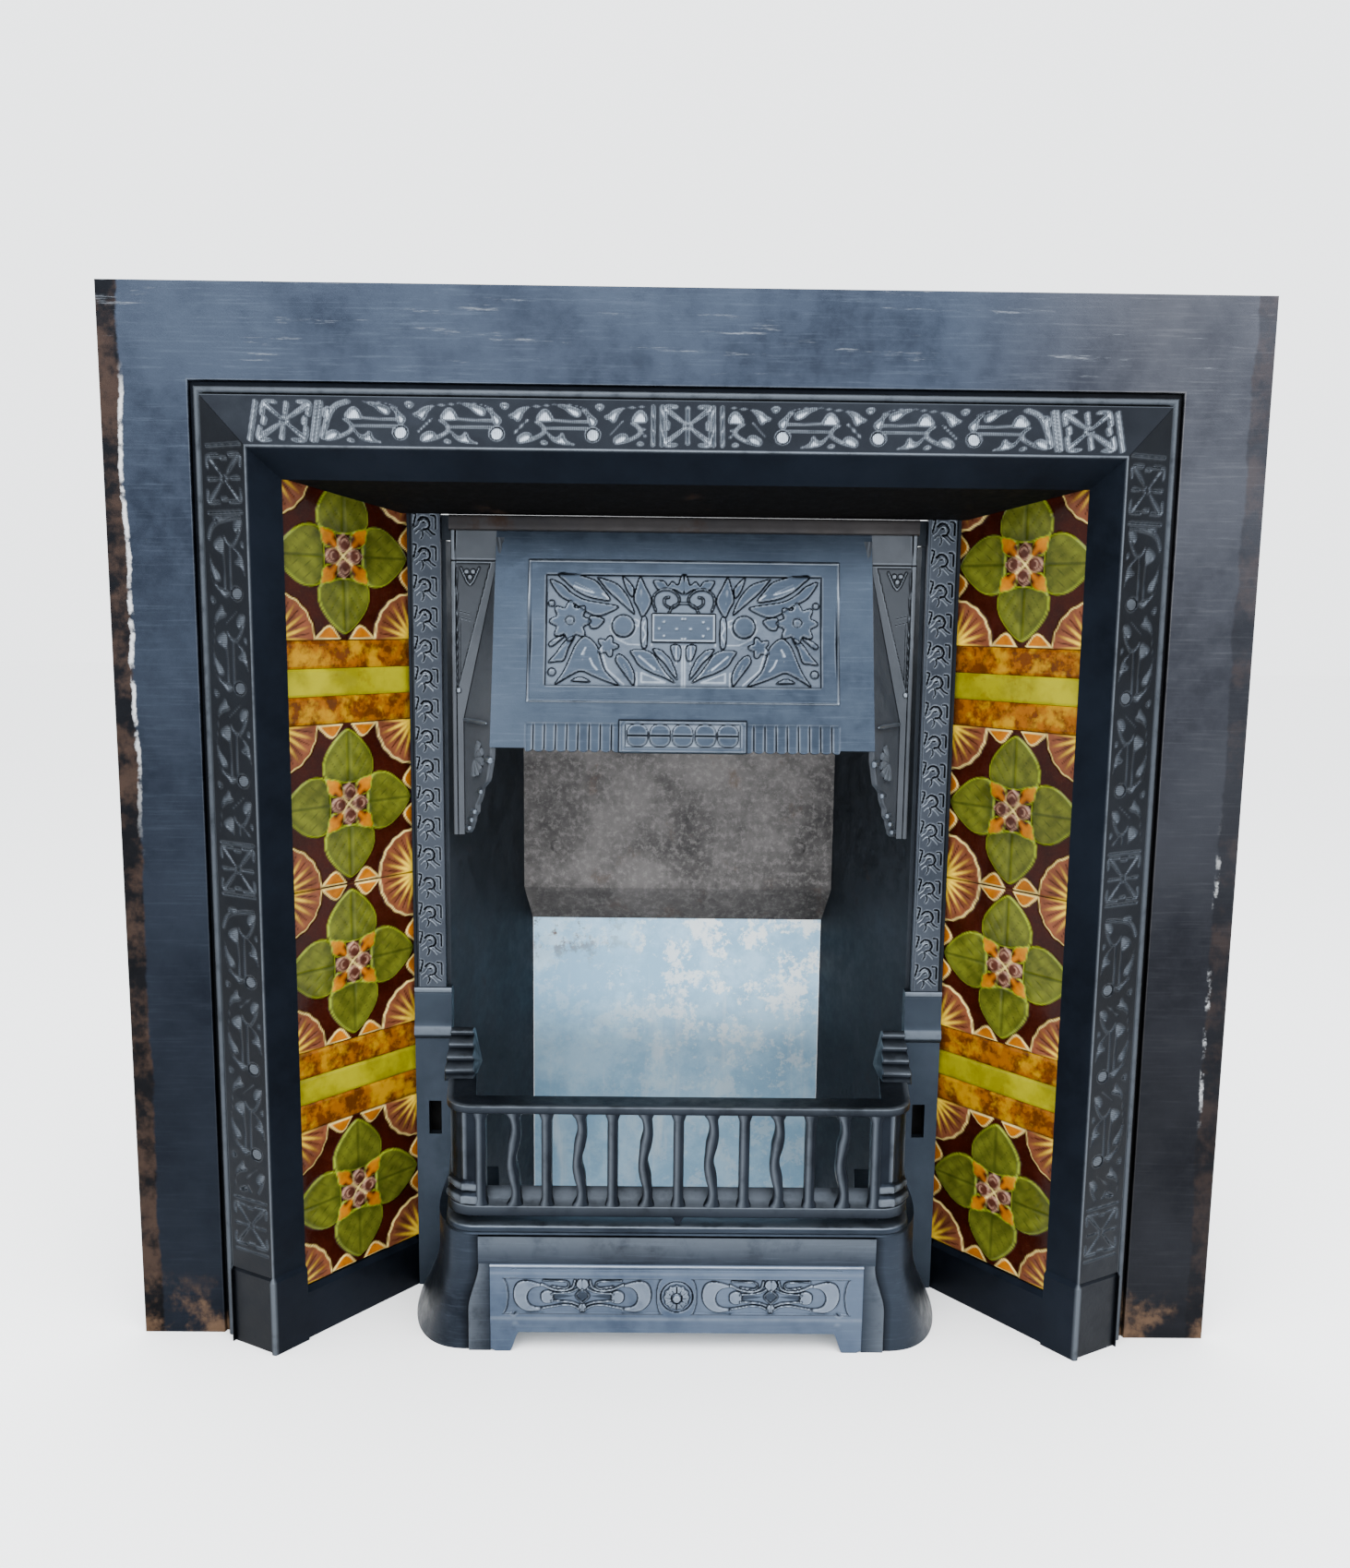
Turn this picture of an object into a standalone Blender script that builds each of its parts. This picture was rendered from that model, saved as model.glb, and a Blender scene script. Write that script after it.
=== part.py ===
"""Tiled cast iron fireplace insert.

Metres, +Z up. The front faces -Y. The plate's front face is the plane Y = 0 of the parent empty,
which moves the whole insert so that the floor point under its middle is the origin.
"""

import math
from collections import namedtuple

import bmesh
import bpy
from mathutils import Vector

# Gap between pieces that touch, and how far fused detail reaches into its host
GAP = 0.0003
ROOT = 0.0012

# Tiles: six inch squares and one inch border strips
LARGE_TILE = 0.1524
BORDER_TILE = 0.0254
TILE_BODY = 0.0090
TILE_RELIEF = 0.0012
TILE_BASE = 0.0504
COLUMN_PATTERN = ("large", "border", "border", "border", "large", "large",
                  "border", "border", "border", "large")

# Splayed cheeks
CHEEK_ANGLE = math.radians(48.9)
LIP_WIDTH = 0.0340
LIP_LAP = 0.0114
LIP_THICKNESS = 0.0047
JAMB_LAP = 0.0030
TRAY_BACK = 0.0060
TRAY_RIM = 0.0040
SILL_CHAMFER = 0.0045

# Front plate
BORDER_SIDE = 0.0757
BORDER_TOP = 0.0820
BAND_WIDTH = 0.0597
BAND_PROUD = 0.0356
PLATE_THICKNESS = 0.0080
COLUMN_HEADROOM = 0.0109
RETURN_DROP = 0.0248
PLINTH_HEIGHT = 0.0750
PLINTH_CHAMFER = 0.0040
PLINTH_PROUD = 0.0030
BAND_FOOT = (0.0140, 0.0120)
BAND_RELIEF = 0.0022
ROSETTE_SIZE = 0.0440
BAR_LINE = 0.0022
SCROLL_PITCH = 0.0850

# Jambs and the soffit
OPENING_HALF = 0.2316
JAMB_WIDTH = 0.0315
JAMB_THICKNESS = 0.0090
JAMB_FOOT_TOP = 0.3167
JAMB_FOOT_INSET = 0.0056
JAMB_RELIEF = 0.0020
JAMB_ORNAMENT_PITCH = 0.0290
SLOT_WIDTH = 0.0126
SLOT_HEIGHT = 0.0350
SLOT_BOTTOM = 0.1630
SLOT_FROM_EDGE = 0.0065
SOFFIT_FALL = 0.0200
SOFFIT_THICKNESS = 0.0050

# Canopy
CANOPY_CLEARANCE = 0.0090
RAIL_HEIGHT = 0.0140
RAIL_PROUD = 0.0060
CANOPY_WALL = 0.0060
HOOD_DROP = 0.2010
HOOD_PROUD = 0.0460
HOOD_HALF_TOP = 0.1780
HOOD_HALF_BOTTOM = 0.1800
WING_BOTTOM_DROP = 0.1800
BRACKET_DROP = 0.1130
HOOD_RELIEF = 0.0022
PANEL = (0.1300, 0.0580, 0.1640)
PANEL_SINK = 0.0020
LINE = (0.1460, 0.0430, 0.1770)
LINE_WIDTH = 0.0024
FRINGE_SPAN = (0.0560, 0.1460)
FRINGE_HEIGHT = 0.0225
FRINGE_PITCH = 0.0114
LUG_HEIGHT = 0.0200

# Firebox
WALL_INSET = 0.0036
WALL_THICKNESS = 0.0080
FIREBOX_DEPTH = 0.1865
BACK_HALF = 0.1660
FIREBACK_THICKNESS = 0.0220
FIREBACK_RIDGE = 0.3800
FIREBACK_FOOT = 0.3400
FIREBACK_TOP = 0.6600
SHEET_THICKNESS = 0.0015
SHEET_LAP = 0.0600
BOLT_INSET = 0.0305
BOLT_HEIGHT = 0.4270
BOLT_HEAD = 0.0075
BOLT_SHANK = 0.0040
BOLT_CLEARANCE = 0.0004

# Grate and base
FRONT_INSET = 0.0446
CORNER_RADIUS = 0.0300
LEDGE_PROUD = 0.0370
SIDE_FLARE = math.radians(7.8)
LEDGE_TOP = 0.1290
LEDGE_THICKNESS = 0.0080
LEDGE_WIDTH = 0.0500
GRATE_SETBACK = 0.0020
GRATE_FOOT = 0.0080
LOWER_RAIL_HEIGHT = 0.0100
GRATE_HEIGHT = 0.1135
TOP_RAIL_HEIGHT = 0.0075
TOP_RAIL_WIDTH = 0.0270
LOWER_RAIL_WIDTH = 0.0200
BAR_WIDTH = 0.0120
BAR_DEPTH = 0.0095
BAR_COUNT = 13
HORN_HEIGHT = 0.0340
HORN_ROLLS = 4
BASE_WALL = 0.0080
BASE_FLARE = 0.0280
BASE_BELL = 0.0850
PILASTER_WIDTH = 0.0120
PILASTER_BACKSET = 0.0100
COVER_HEIGHT = 0.0880
COVER_THICKNESS = 0.0080
COVER_INSET = 0.0130
COVER_FOOT_WIDTH = 0.0240
COVER_CLEAR = 0.0190
COVER_RELIEF = 0.0020

# Derived places
COLUMN_HEIGHT = sum(LARGE_TILE if kind == "large" else BORDER_TILE for kind in COLUMN_PATTERN)
COS = math.cos(CHEEK_ANGLE)
SIN = math.sin(CHEEK_ANGLE)
TILE_DEPTH = LIP_THICKNESS + GAP
TILE_START = LIP_WIDTH - LIP_LAP
TILE_END = TILE_START + LARGE_TILE
JAMB_OUTER = OPENING_HALF + JAMB_WIDTH
ARRIS_HALF = JAMB_OUTER + (TILE_END - JAMB_LAP) * COS - LIP_THICKNESS * SIN
JAMB_BACK = -BAND_PROUD + (TILE_END - JAMB_LAP) * SIN + LIP_THICKNESS * COS
JAMB_FRONT = JAMB_BACK - JAMB_THICKNESS
ARRIS_TOP = TILE_BASE + COLUMN_HEIGHT + COLUMN_HEADROOM
MOULDING_HALF = ARRIS_HALF + BAND_WIDTH
MOULDING_TOP = ARRIS_TOP + BAND_WIDTH
PLATE_HALF = MOULDING_HALF + BORDER_SIDE
PLATE_HEIGHT = MOULDING_TOP + BORDER_TOP
RETURN_HALF = ARRIS_HALF - LIP_WIDTH * COS
RETURN_TOP = ARRIS_TOP - RETURN_DROP
RETURN_Y = -BAND_PROUD + LIP_WIDTH * SIN
JAMB_TOP = RETURN_TOP - SOFFIT_FALL
CANOPY_TOP = JAMB_TOP - GAP
CANOPY_HALF = OPENING_HALF - CANOPY_CLEARANCE
HOOD_TOP = CANOPY_TOP - RAIL_HEIGHT
HOOD_BOTTOM = HOOD_TOP - HOOD_DROP
WALL_FRONT = JAMB_BACK + GAP
WALL_HALF = OPENING_HALF - WALL_INSET
FIREBACK_BACK = WALL_FRONT + FIREBOX_DEPTH
FIREBACK_FRONT = FIREBACK_BACK - FIREBACK_THICKNESS
SHEET_FRONT = FIREBACK_BACK + GAP
SHEET_BACK = SHEET_FRONT + SHEET_THICKNESS
BOLT_SPREAD = BACK_HALF - BOLT_INSET
FRONT_HALF = OPENING_HALF - FRONT_INSET
COVER_HALF = FRONT_HALF - COVER_INSET
GRATE_BASE = LEDGE_TOP + GAP
GRATE_TOP = GRATE_BASE + GRATE_HEIGHT
GRATE_BACK = JAMB_FRONT - GAP
FRONT_REACH = BAND_PROUD + PLINTH_PROUD
PLATE_Y = (FRONT_REACH - SHEET_BACK) / 2

Plane = namedtuple("Plane", "origin u v n")


def plane(origin, u, v):
    """Working plane whose normal is u cross v."""
    u = Vector(u).normalized()
    v = Vector(v).normalized()
    return Plane(Vector(origin), u, v, u.cross(v))


def on(face, u, v, height=0.0):
    """Point in space above a place on a working plane."""
    return face.origin + face.u * u + face.v * v + face.n * height


def clear_scene():
    """Start from an empty scene."""
    for item in list(bpy.data.objects):
        bpy.data.objects.remove(item)


def material(name, colour, roughness, metallic):
    """Plain Principled material."""
    mat = bpy.data.materials.new(name)
    mat.use_nodes = True
    shader = mat.node_tree.nodes["Principled BSDF"]
    shader.inputs["Base Color"].default_value = (*colour, 1.0)
    shader.inputs["Roughness"].default_value = roughness
    shader.inputs["Metallic"].default_value = metallic
    return mat


def add_prism(mesh, outline, face, low, high):
    """Add a closed prism that stands on a working plane between two heights."""
    bottom = [mesh.verts.new(on(face, u, v, low)) for u, v in outline]
    top = [mesh.verts.new(on(face, u, v, high)) for u, v in outline]
    faces = [mesh.faces.new(bottom), mesh.faces.new(top)]
    for i, vert in enumerate(bottom):
        j = (i + 1) % len(bottom)
        faces.append(mesh.faces.new((vert, bottom[j], top[j], top[i])))
    bmesh.ops.recalc_face_normals(mesh, faces=faces)


def add_loft(mesh, sections, closed=False):
    """Add a solid through matching closed sections, capped unless it runs round."""
    rings = [[mesh.verts.new(point) for point in section] for section in sections]
    faces = []
    if not closed:
        faces += [mesh.faces.new(rings[0]), mesh.faces.new(rings[-1])]
    count = len(rings[0])
    spans = len(rings) if closed else len(rings) - 1
    for k in range(spans):
        near, far = rings[k], rings[(k + 1) % len(rings)]
        for i in range(count):
            j = (i + 1) % count
            faces.append(mesh.faces.new((near[i], near[j], far[j], far[i])))
    bmesh.ops.recalc_face_normals(mesh, faces=faces)


def add_box(mesh, low, high):
    """Add a box between two corners."""
    flat = plane((0, 0, 0), (1, 0, 0), (0, 1, 0))
    outline = rectangle(low[0], low[1], high[0], high[1])
    add_prism(mesh, outline, flat, low[2], high[2])


def combined(host, tool, operation, overlapping=False):
    """Solid that results from a Boolean of two meshes."""
    meshes = []
    for shape in (host, tool):
        data = bpy.data.meshes.new("step")
        shape.to_mesh(data)
        shape.free()
        meshes.append(data)
    base = bpy.data.objects.new("base", meshes[0])
    other = bpy.data.objects.new("other", meshes[1])
    for item in (base, other):
        bpy.context.scene.collection.objects.link(item)
    step = base.modifiers.new("step", "BOOLEAN")
    step.operation = operation
    step.solver = "EXACT"
    step.use_self = overlapping
    step.object = other
    graph = bpy.context.evaluated_depsgraph_get()
    result = bmesh.new()
    result.from_object(base, graph)
    for item in (base, other):
        bpy.data.objects.remove(item)
    return result


def add_object(name, mesh, mat, parent, smooth=False):
    """Finish a mesh as a named object under the insert's empty."""
    flat = math.radians(0.2)
    bmesh.ops.dissolve_limit(mesh, angle_limit=flat, verts=mesh.verts, edges=mesh.edges)
    data = bpy.data.meshes.new(name)
    mesh.to_mesh(data)
    mesh.free()
    data.materials.append(mat)
    if smooth:
        data.shade_smooth()
        data.set_sharp_from_angle(angle=math.radians(35))
    item = bpy.data.objects.new(name, data)
    bpy.context.scene.collection.objects.link(item)
    item.parent = parent
    return item


def rectangle(u0, v0, u1, v1):
    """Outline of an upright rectangle."""
    return [(u0, v0), (u1, v0), (u1, v1), (u0, v1)]


def disc(centre, radius, sides, turn=0.0):
    """Outline of a regular polygon."""
    angles = [turn + 2 * math.pi * k / sides for k in range(sides)]
    return [(centre[0] + radius * math.cos(a), centre[1] + radius * math.sin(a)) for a in angles]


def star(centre, outer, inner, points, turn=0.0):
    """Outline of a star or lobed flower."""
    outline = []
    for k in range(2 * points):
        radius = outer if k % 2 == 0 else inner
        angle = turn + math.pi * k / points
        outline.append((centre[0] + radius * math.cos(angle), centre[1] + radius * math.sin(angle)))
    return outline


def leaf(base, tip, width, steps=1):
    """Outline of a pointed leaf between two points."""
    start = Vector(base)
    along = Vector(tip) - start
    across = Vector((-along.y, along.x)).normalized()
    spine = []
    for k in range(1, steps + 1):
        t = k / (steps + 1)
        swell = math.sin(math.pi * t)
        spine.append((start + along * t, width / 2 * swell))
    right = [tuple(point - across * half) for point, half in spine]
    left = [tuple(point + across * half) for point, half in reversed(spine)]
    return [tuple(start), *right, tuple(tip), *left]


def ribbon(points, width):
    """Outline of a band of even width along a line of points."""
    left, right = [], []
    for k, point in enumerate(points):
        before = Vector(points[max(k - 1, 0)])
        after = Vector(points[min(k + 1, len(points) - 1)])
        along = (after - before).normalized()
        across = Vector((-along.y, along.x)) * width / 2
        left.append(tuple(Vector(point) + across))
        right.append(tuple(Vector(point) - across))
    return right + left[::-1]


def raised(outlines, face, height, root=ROOT):
    """Mesh of relief shapes that stand on a working plane."""
    mesh = bmesh.new()
    for outline in outlines:
        add_prism(mesh, outline, face, -root, height)
    return mesh


def add_frame(mesh, face, box, width, low, high):
    """Add a mitred rectangular fillet that runs round a box on a working plane."""
    u0, v0, u1, v1 = box
    sections = []
    for u, v, du, dv in ((u0, v0, -1, -1), (u1, v0, 1, -1), (u1, v1, 1, 1), (u0, v1, -1, 1)):
        sections.append([on(face, u + du * width / 2 * way, v + dv * width / 2 * way, height)
                         for way, height in ((-1, low), (1, low), (1, high), (-1, high))])
    add_loft(mesh, sections, closed=True)


def merge(target, source):
    """Append one mesh to another."""
    data = bpy.data.meshes.new("step")
    source.to_mesh(data)
    source.free()
    target.from_mesh(data)
    bpy.data.meshes.remove(data)


def cheek_plane(side):
    """Plane of a splayed cheek: u runs inwards from the arris, v up, normal to the room."""
    u = Vector((-side * COS, SIN, 0))
    up = Vector((0, 0, 1))
    normal = Vector((-side * SIN, -COS, 0))
    return Plane(Vector((side * ARRIS_HALF, -BAND_PROUD, 0)), u, up, normal)


# Front plate

def plate_section():
    """Rings of the plate's section: half-width, top, Y, and the plinth's added half-width and Y."""
    foot_in, foot_proud = BAND_FOOT
    run = BAND_WIDTH - foot_in
    rise = BAND_PROUD - foot_proud
    slope = math.hypot(run, rise)
    plinth_foot = (rise / slope * PLINTH_PROUD, -run / slope * PLINTH_PROUD)
    plinth_return = (-SIN * PLINTH_PROUD, -COS * PLINTH_PROUD)

    def ring(inward, y, plinth=(0, 0)):
        return (MOULDING_HALF - inward, MOULDING_TOP - inward, y, *plinth)

    def behind_lip(u):
        half = ARRIS_HALF - u * COS + LIP_THICKNESS * SIN
        top = ARRIS_TOP - RETURN_DROP * u / LIP_WIDTH + LIP_THICKNESS * SIN
        return (half, top, -BAND_PROUD + u * SIN + LIP_THICKNESS * COS, 0, 0)

    shell = PLATE_THICKNESS
    return [
        (PLATE_HALF, PLATE_HEIGHT, PLATE_THICKNESS, 0, 0),
        (PLATE_HALF, PLATE_HEIGHT, 0, 0, 0),
        ring(0, 0),
        ring(0.0008, 0.0040),
        ring(0.0055, 0.0040),
        ring(0.0066, -0.0030),
        ring(0.0090, -0.0045),
        ring(0.0114, -0.0030),
        ring(0.0128, 0.0000),
        ring(foot_in, -foot_proud, plinth_foot),
        ring(BAND_WIDTH - 0.0016, -BAND_PROUD + 0.0002, (0, -PLINTH_PROUD)),
        ring(BAND_WIDTH, -BAND_PROUD, (-PLINTH_PROUD / 2, -PLINTH_PROUD)),
        (RETURN_HALF, RETURN_TOP, RETURN_Y, *plinth_return),
        behind_lip(LIP_WIDTH),
        behind_lip(TILE_START - TRAY_RIM - GAP * 2),
        ring(BAND_WIDTH - LIP_THICKNESS * SIN, -BAND_PROUD + shell),
        ring(foot_in + shell * 0.9, -foot_proud + shell * 0.6),
        ring(foot_in, PLATE_THICKNESS),
    ]


def band_planes():
    """Planes of the three ornament bands: u along the band, v from its foot to the arris."""
    foot_in, foot_proud = BAND_FOOT
    run = BAND_WIDTH - foot_in
    rise = BAND_PROUD - foot_proud
    x = MOULDING_HALF - foot_in
    z = MOULDING_TOP - foot_in
    left = plane((-x, -foot_proud, 0), (0, 0, -1), (run, -rise, 0))
    right = plane((x, -foot_proud, 0), (0, 0, 1), (-run, -rise, 0))
    top = plane((0, -foot_proud, z), (-1, 0, 0), (0, -rise, -run))
    return left, right, top


def band_width():
    """Width of the sloping ornament band."""
    foot_in, foot_proud = BAND_FOOT
    return math.hypot(BAND_WIDTH - foot_in, BAND_PROUD - foot_proud)


def rosette_block(centre):
    """Square block with a spoked rosette between two cross bars."""
    middle = band_width() / 2
    half = ROSETTE_SIZE / 2
    shapes = [star((centre, middle), half * 0.90, half * 0.34, 6, math.pi / 6)]
    for way in (-1, 1):
        edge = centre + way * (half + 0.0025)
        shapes.append(rectangle(edge - BAR_LINE / 2, 0.0040, edge + BAR_LINE / 2, 2 * middle - 0.0040))
    return shapes


def scroll_run(start, end):
    """Waving stem with a hooked leaf in each bend."""
    middle = band_width() / 2
    length = end - start
    waves = max(1, round(length / SCROLL_PITCH * 2)) / 2
    steps = int(waves * 4)
    sway = middle * 0.46

    def stem(t):
        return (start + length * t, middle + sway * math.sin(2 * math.pi * waves * t))

    shapes = [ribbon([stem(k / steps) for k in range(steps + 1)], 0.0052)]
    bends = int(2 * waves)
    span = length / bends
    for k in range(bends):
        crest = start + span * (k + 0.5)
        side = 1 if k % 2 == 0 else -1
        hollow = middle - side * middle * 0.30
        shapes.append(leaf((crest - span * 0.30, hollow), (crest + span * 0.34, hollow - side * 0.004), 0.0130))
        edge = middle - side * middle * 0.86
        shapes.append([(crest - span * 0.34, edge), (crest + span * 0.34, edge), (crest, edge + side * 0.0050)])
    return shapes


def front_plate(mat, parent):
    """Border, moulding, ornament band, splayed return and plinth in one casting."""
    sections = []
    step = PLINTH_HEIGHT - PLINTH_CHAMFER
    for half, top, y, wider, proud in plate_section():
        sections.append([
            (-half - wider, y + proud, 0),
            (-half - wider, y + proud, step),
            (-half, y, PLINTH_HEIGHT),
            (-half, y, top),
            (half, y, top),
            (half, y, PLINTH_HEIGHT),
            (half + wider, y + proud, step),
            (half + wider, y + proud, 0),
        ])
    mesh = bmesh.new()
    rings = [[mesh.verts.new(point) for point in section] for section in sections]
    for k, near in enumerate(rings):
        far = rings[(k + 1) % len(rings)]
        for i in range(len(near) - 1):
            mesh.faces.new((near[i], near[i + 1], far[i + 1], far[i]))
    mesh.faces.new([ring[0] for ring in rings])
    mesh.faces.new([ring[-1] for ring in rings])
    bmesh.ops.recalc_face_normals(mesh, faces=mesh.faces)

    left, right, top = band_planes()
    relief = bmesh.new()
    block = ROSETTE_SIZE + 0.0060
    high = ARRIS_TOP - 0.0030 - block / 2
    low = PLINTH_HEIGHT + 0.0150 + block / 2
    heights = (low, (low + high) / 2, high)
    for face, sign in ((left, -1), (right, 1)):
        shapes = []
        for centre in heights:
            shapes += rosette_block(sign * centre)
        for a, b in zip(heights, heights[1:]):
            ends = sorted((sign * (a + block / 2 + 0.003), sign * (b - block / 2 - 0.003)))
            shapes += scroll_run(*ends)
        merge(relief, raised(shapes, face, BAND_RELIEF))
    reach = ARRIS_HALF - 0.0030 - block / 2
    shapes = []
    for centre in (-reach, 0, reach):
        shapes += rosette_block(centre)
    for a, b in ((-reach, 0), (0, reach)):
        shapes += scroll_run(a + block / 2 + 0.003, b - block / 2 - 0.003)
    merge(relief, raised(shapes, top, BAND_RELIEF))
    mesh = combined(mesh, relief, "UNION", overlapping=True)
    return add_object("front_plate", mesh, mat, parent)


# Tiled cheeks

def cheek_frame(side, name, mat, parent):
    """Tray behind one column of tiles, with the plain rail and sill below it."""
    face = cheek_plane(side)
    back = TILE_DEPTH + TILE_BODY + GAP
    rear = back + TRAY_BACK
    start = TILE_START - GAP
    end = TILE_END + GAP
    top = TILE_BASE + COLUMN_HEIGHT + GAP
    channel = [(start - TRAY_RIM, -TILE_DEPTH), (start, -TILE_DEPTH), (start, -back), (end, -back),
               (end, -TILE_DEPTH - TRAY_RIM), (end + TRAY_RIM, -TILE_DEPTH - TRAY_RIM),
               (end + TRAY_RIM, -rear), (start - TRAY_RIM, -rear)]
    mesh = bmesh.new()
    floor = Plane(face.origin, face.u, face.n, Vector((0, 0, 1)))
    add_prism(mesh, channel, floor, 0, top + TRAY_RIM)
    fused = bmesh.new()
    head = rectangle(start - ROOT, -back - ROOT, end + ROOT, -TILE_DEPTH - TRAY_RIM)
    add_prism(fused, head, floor, top, top + TRAY_RIM - GAP)
    rail_end = (ARRIS_HALF - JAMB_OUTER - GAP) / COS
    side_view = plane(on(face, 0, 0), face.n, face.v)
    sill = TILE_BASE - GAP
    profile = [(-back - ROOT, 0), (0, 0), (0, sill - SILL_CHAMFER), (-SILL_CHAMFER, sill), (-back - ROOT, sill)]
    rail = [[side_view.origin + face.u * u + face.n * n + face.v * z for n, z in profile]
            for u in (LIP_WIDTH + GAP, rail_end)]
    add_loft(fused, rail)
    mesh = combined(mesh, fused, "UNION", overlapping=True)
    return add_object(name, mesh, mat, parent)


def flower_outlines():
    """Relief of the large tile: crossed leaves, sepals, a knot and quarter fans, with their extra height."""
    middle = LARGE_TILE / 2
    leaves = []
    for k in range(4):
        for radius, offset in ((0.22, -0.785), (0.56, -0.49), (0.90, 0.0), (0.56, 0.49)):
            angle = math.pi / 2 * k + offset
            leaves.append((middle + middle * radius * math.cos(angle), middle + middle * radius * math.sin(angle)))
    sepals = star((middle, middle), middle * 0.50, middle * 0.18, 4, math.pi / 4)
    groups = [(leaves, 0.0), (sepals, 0.0006)]
    groups.append((disc((middle, middle), middle * 0.14, 6), 0.0016))
    radius = middle * 0.50
    for cu, cv, turn in ((0, 0, 0), (1, 0, 1), (1, 1, 2), (0, 1, 3)):
        corner = (cu * LARGE_TILE, cv * LARGE_TILE)
        arc = [math.pi / 2 * (turn + k / 3) for k in range(4)]
        fan = [corner] + [(corner[0] + radius * math.cos(a), corner[1] + radius * math.sin(a)) for a in arc]
        groups.append((fan, -0.0004))
    return groups


def large_tile(side, name, base, mat, parent):
    """Six inch tile with its moulded flower."""
    face = cheek_plane(side)
    ground = -TILE_DEPTH - TILE_RELIEF
    mesh = bmesh.new()
    outline = rectangle(TILE_START, base, TILE_END, base + LARGE_TILE - GAP)
    add_prism(mesh, outline, face, -TILE_DEPTH - TILE_BODY, ground)
    relief = bmesh.new()
    inset = 1 - 2 * GAP / LARGE_TILE
    for shape, proud in flower_outlines():
        moved = [(TILE_START + GAP + u * inset, base + GAP + v * (inset - GAP / LARGE_TILE)) for u, v in shape]
        add_prism(relief, moved, face, ground - ROOT, -TILE_DEPTH + proud)
    mesh = combined(mesh, relief, "UNION", overlapping=True)
    return add_object(name, mesh, mat, parent)


def border_tile(side, name, base, mat, parent):
    """One inch strip with softened edges."""
    face = cheek_plane(side)
    high = base + BORDER_TILE - GAP
    soft = 0.0012
    across = plane(on(face, TILE_START, 0), face.n, face.v)
    low_n = -TILE_DEPTH - TILE_BODY
    profile = [(low_n, base), (-TILE_DEPTH - soft, base), (-TILE_DEPTH, base + soft),
               (-TILE_DEPTH, high - soft), (-TILE_DEPTH - soft, high), (low_n, high)]
    mesh = bmesh.new()
    ends = [[across.origin + face.u * u + face.n * n + face.v * z for n, z in profile]
            for u in (0, LARGE_TILE)]
    add_loft(mesh, ends)
    return add_object(name, mesh, mat, parent)


def tile_column(side, word, mats, parent):
    """All the tiles of one cheek, numbered from the floor up."""
    counts = {"large": 0, "border": 0}
    base = TILE_BASE
    for kind in COLUMN_PATTERN:
        counts[kind] += 1
        number = counts[kind]
        if kind == "large":
            large_tile(side, f"{word}_flower_tile_{number}", base, mats["flower"], parent)
            base += LARGE_TILE
        else:
            plain = number % 3 == 2
            mat = mats["olive"] if plain else mats["amber"]
            border_tile(side, f"{word}_border_tile_{number}", base, mat, parent)
            base += BORDER_TILE


def soffit_plate(mat, parent):
    """Plain plate that closes the top between the tiled cheeks."""
    front = RETURN_Y + LIP_THICKNESS * COS + GAP
    back = JAMB_BACK

    def half(y):
        run = (y + BAND_PROUD - (TILE_DEPTH - GAP) * COS) / SIN
        return ARRIS_HALF - run * COS + (TILE_DEPTH - GAP) * SIN - GAP * 2 - 0.0016

    corners = ((front, RETURN_TOP + 0.0015), (JAMB_FRONT, JAMB_TOP + GAP), (back, JAMB_TOP + GAP))
    mesh = bmesh.new()
    sections = []
    for y, z in corners:
        x = half(y)
        sections.append([(-x, y, z), (x, y, z), (x, y, z + SOFFIT_THICKNESS), (-x, y, z + SOFFIT_THICKNESS)])
    add_loft(mesh, sections)
    return add_object("soffit_plate", mesh, mat, parent)


# Jambs

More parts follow.
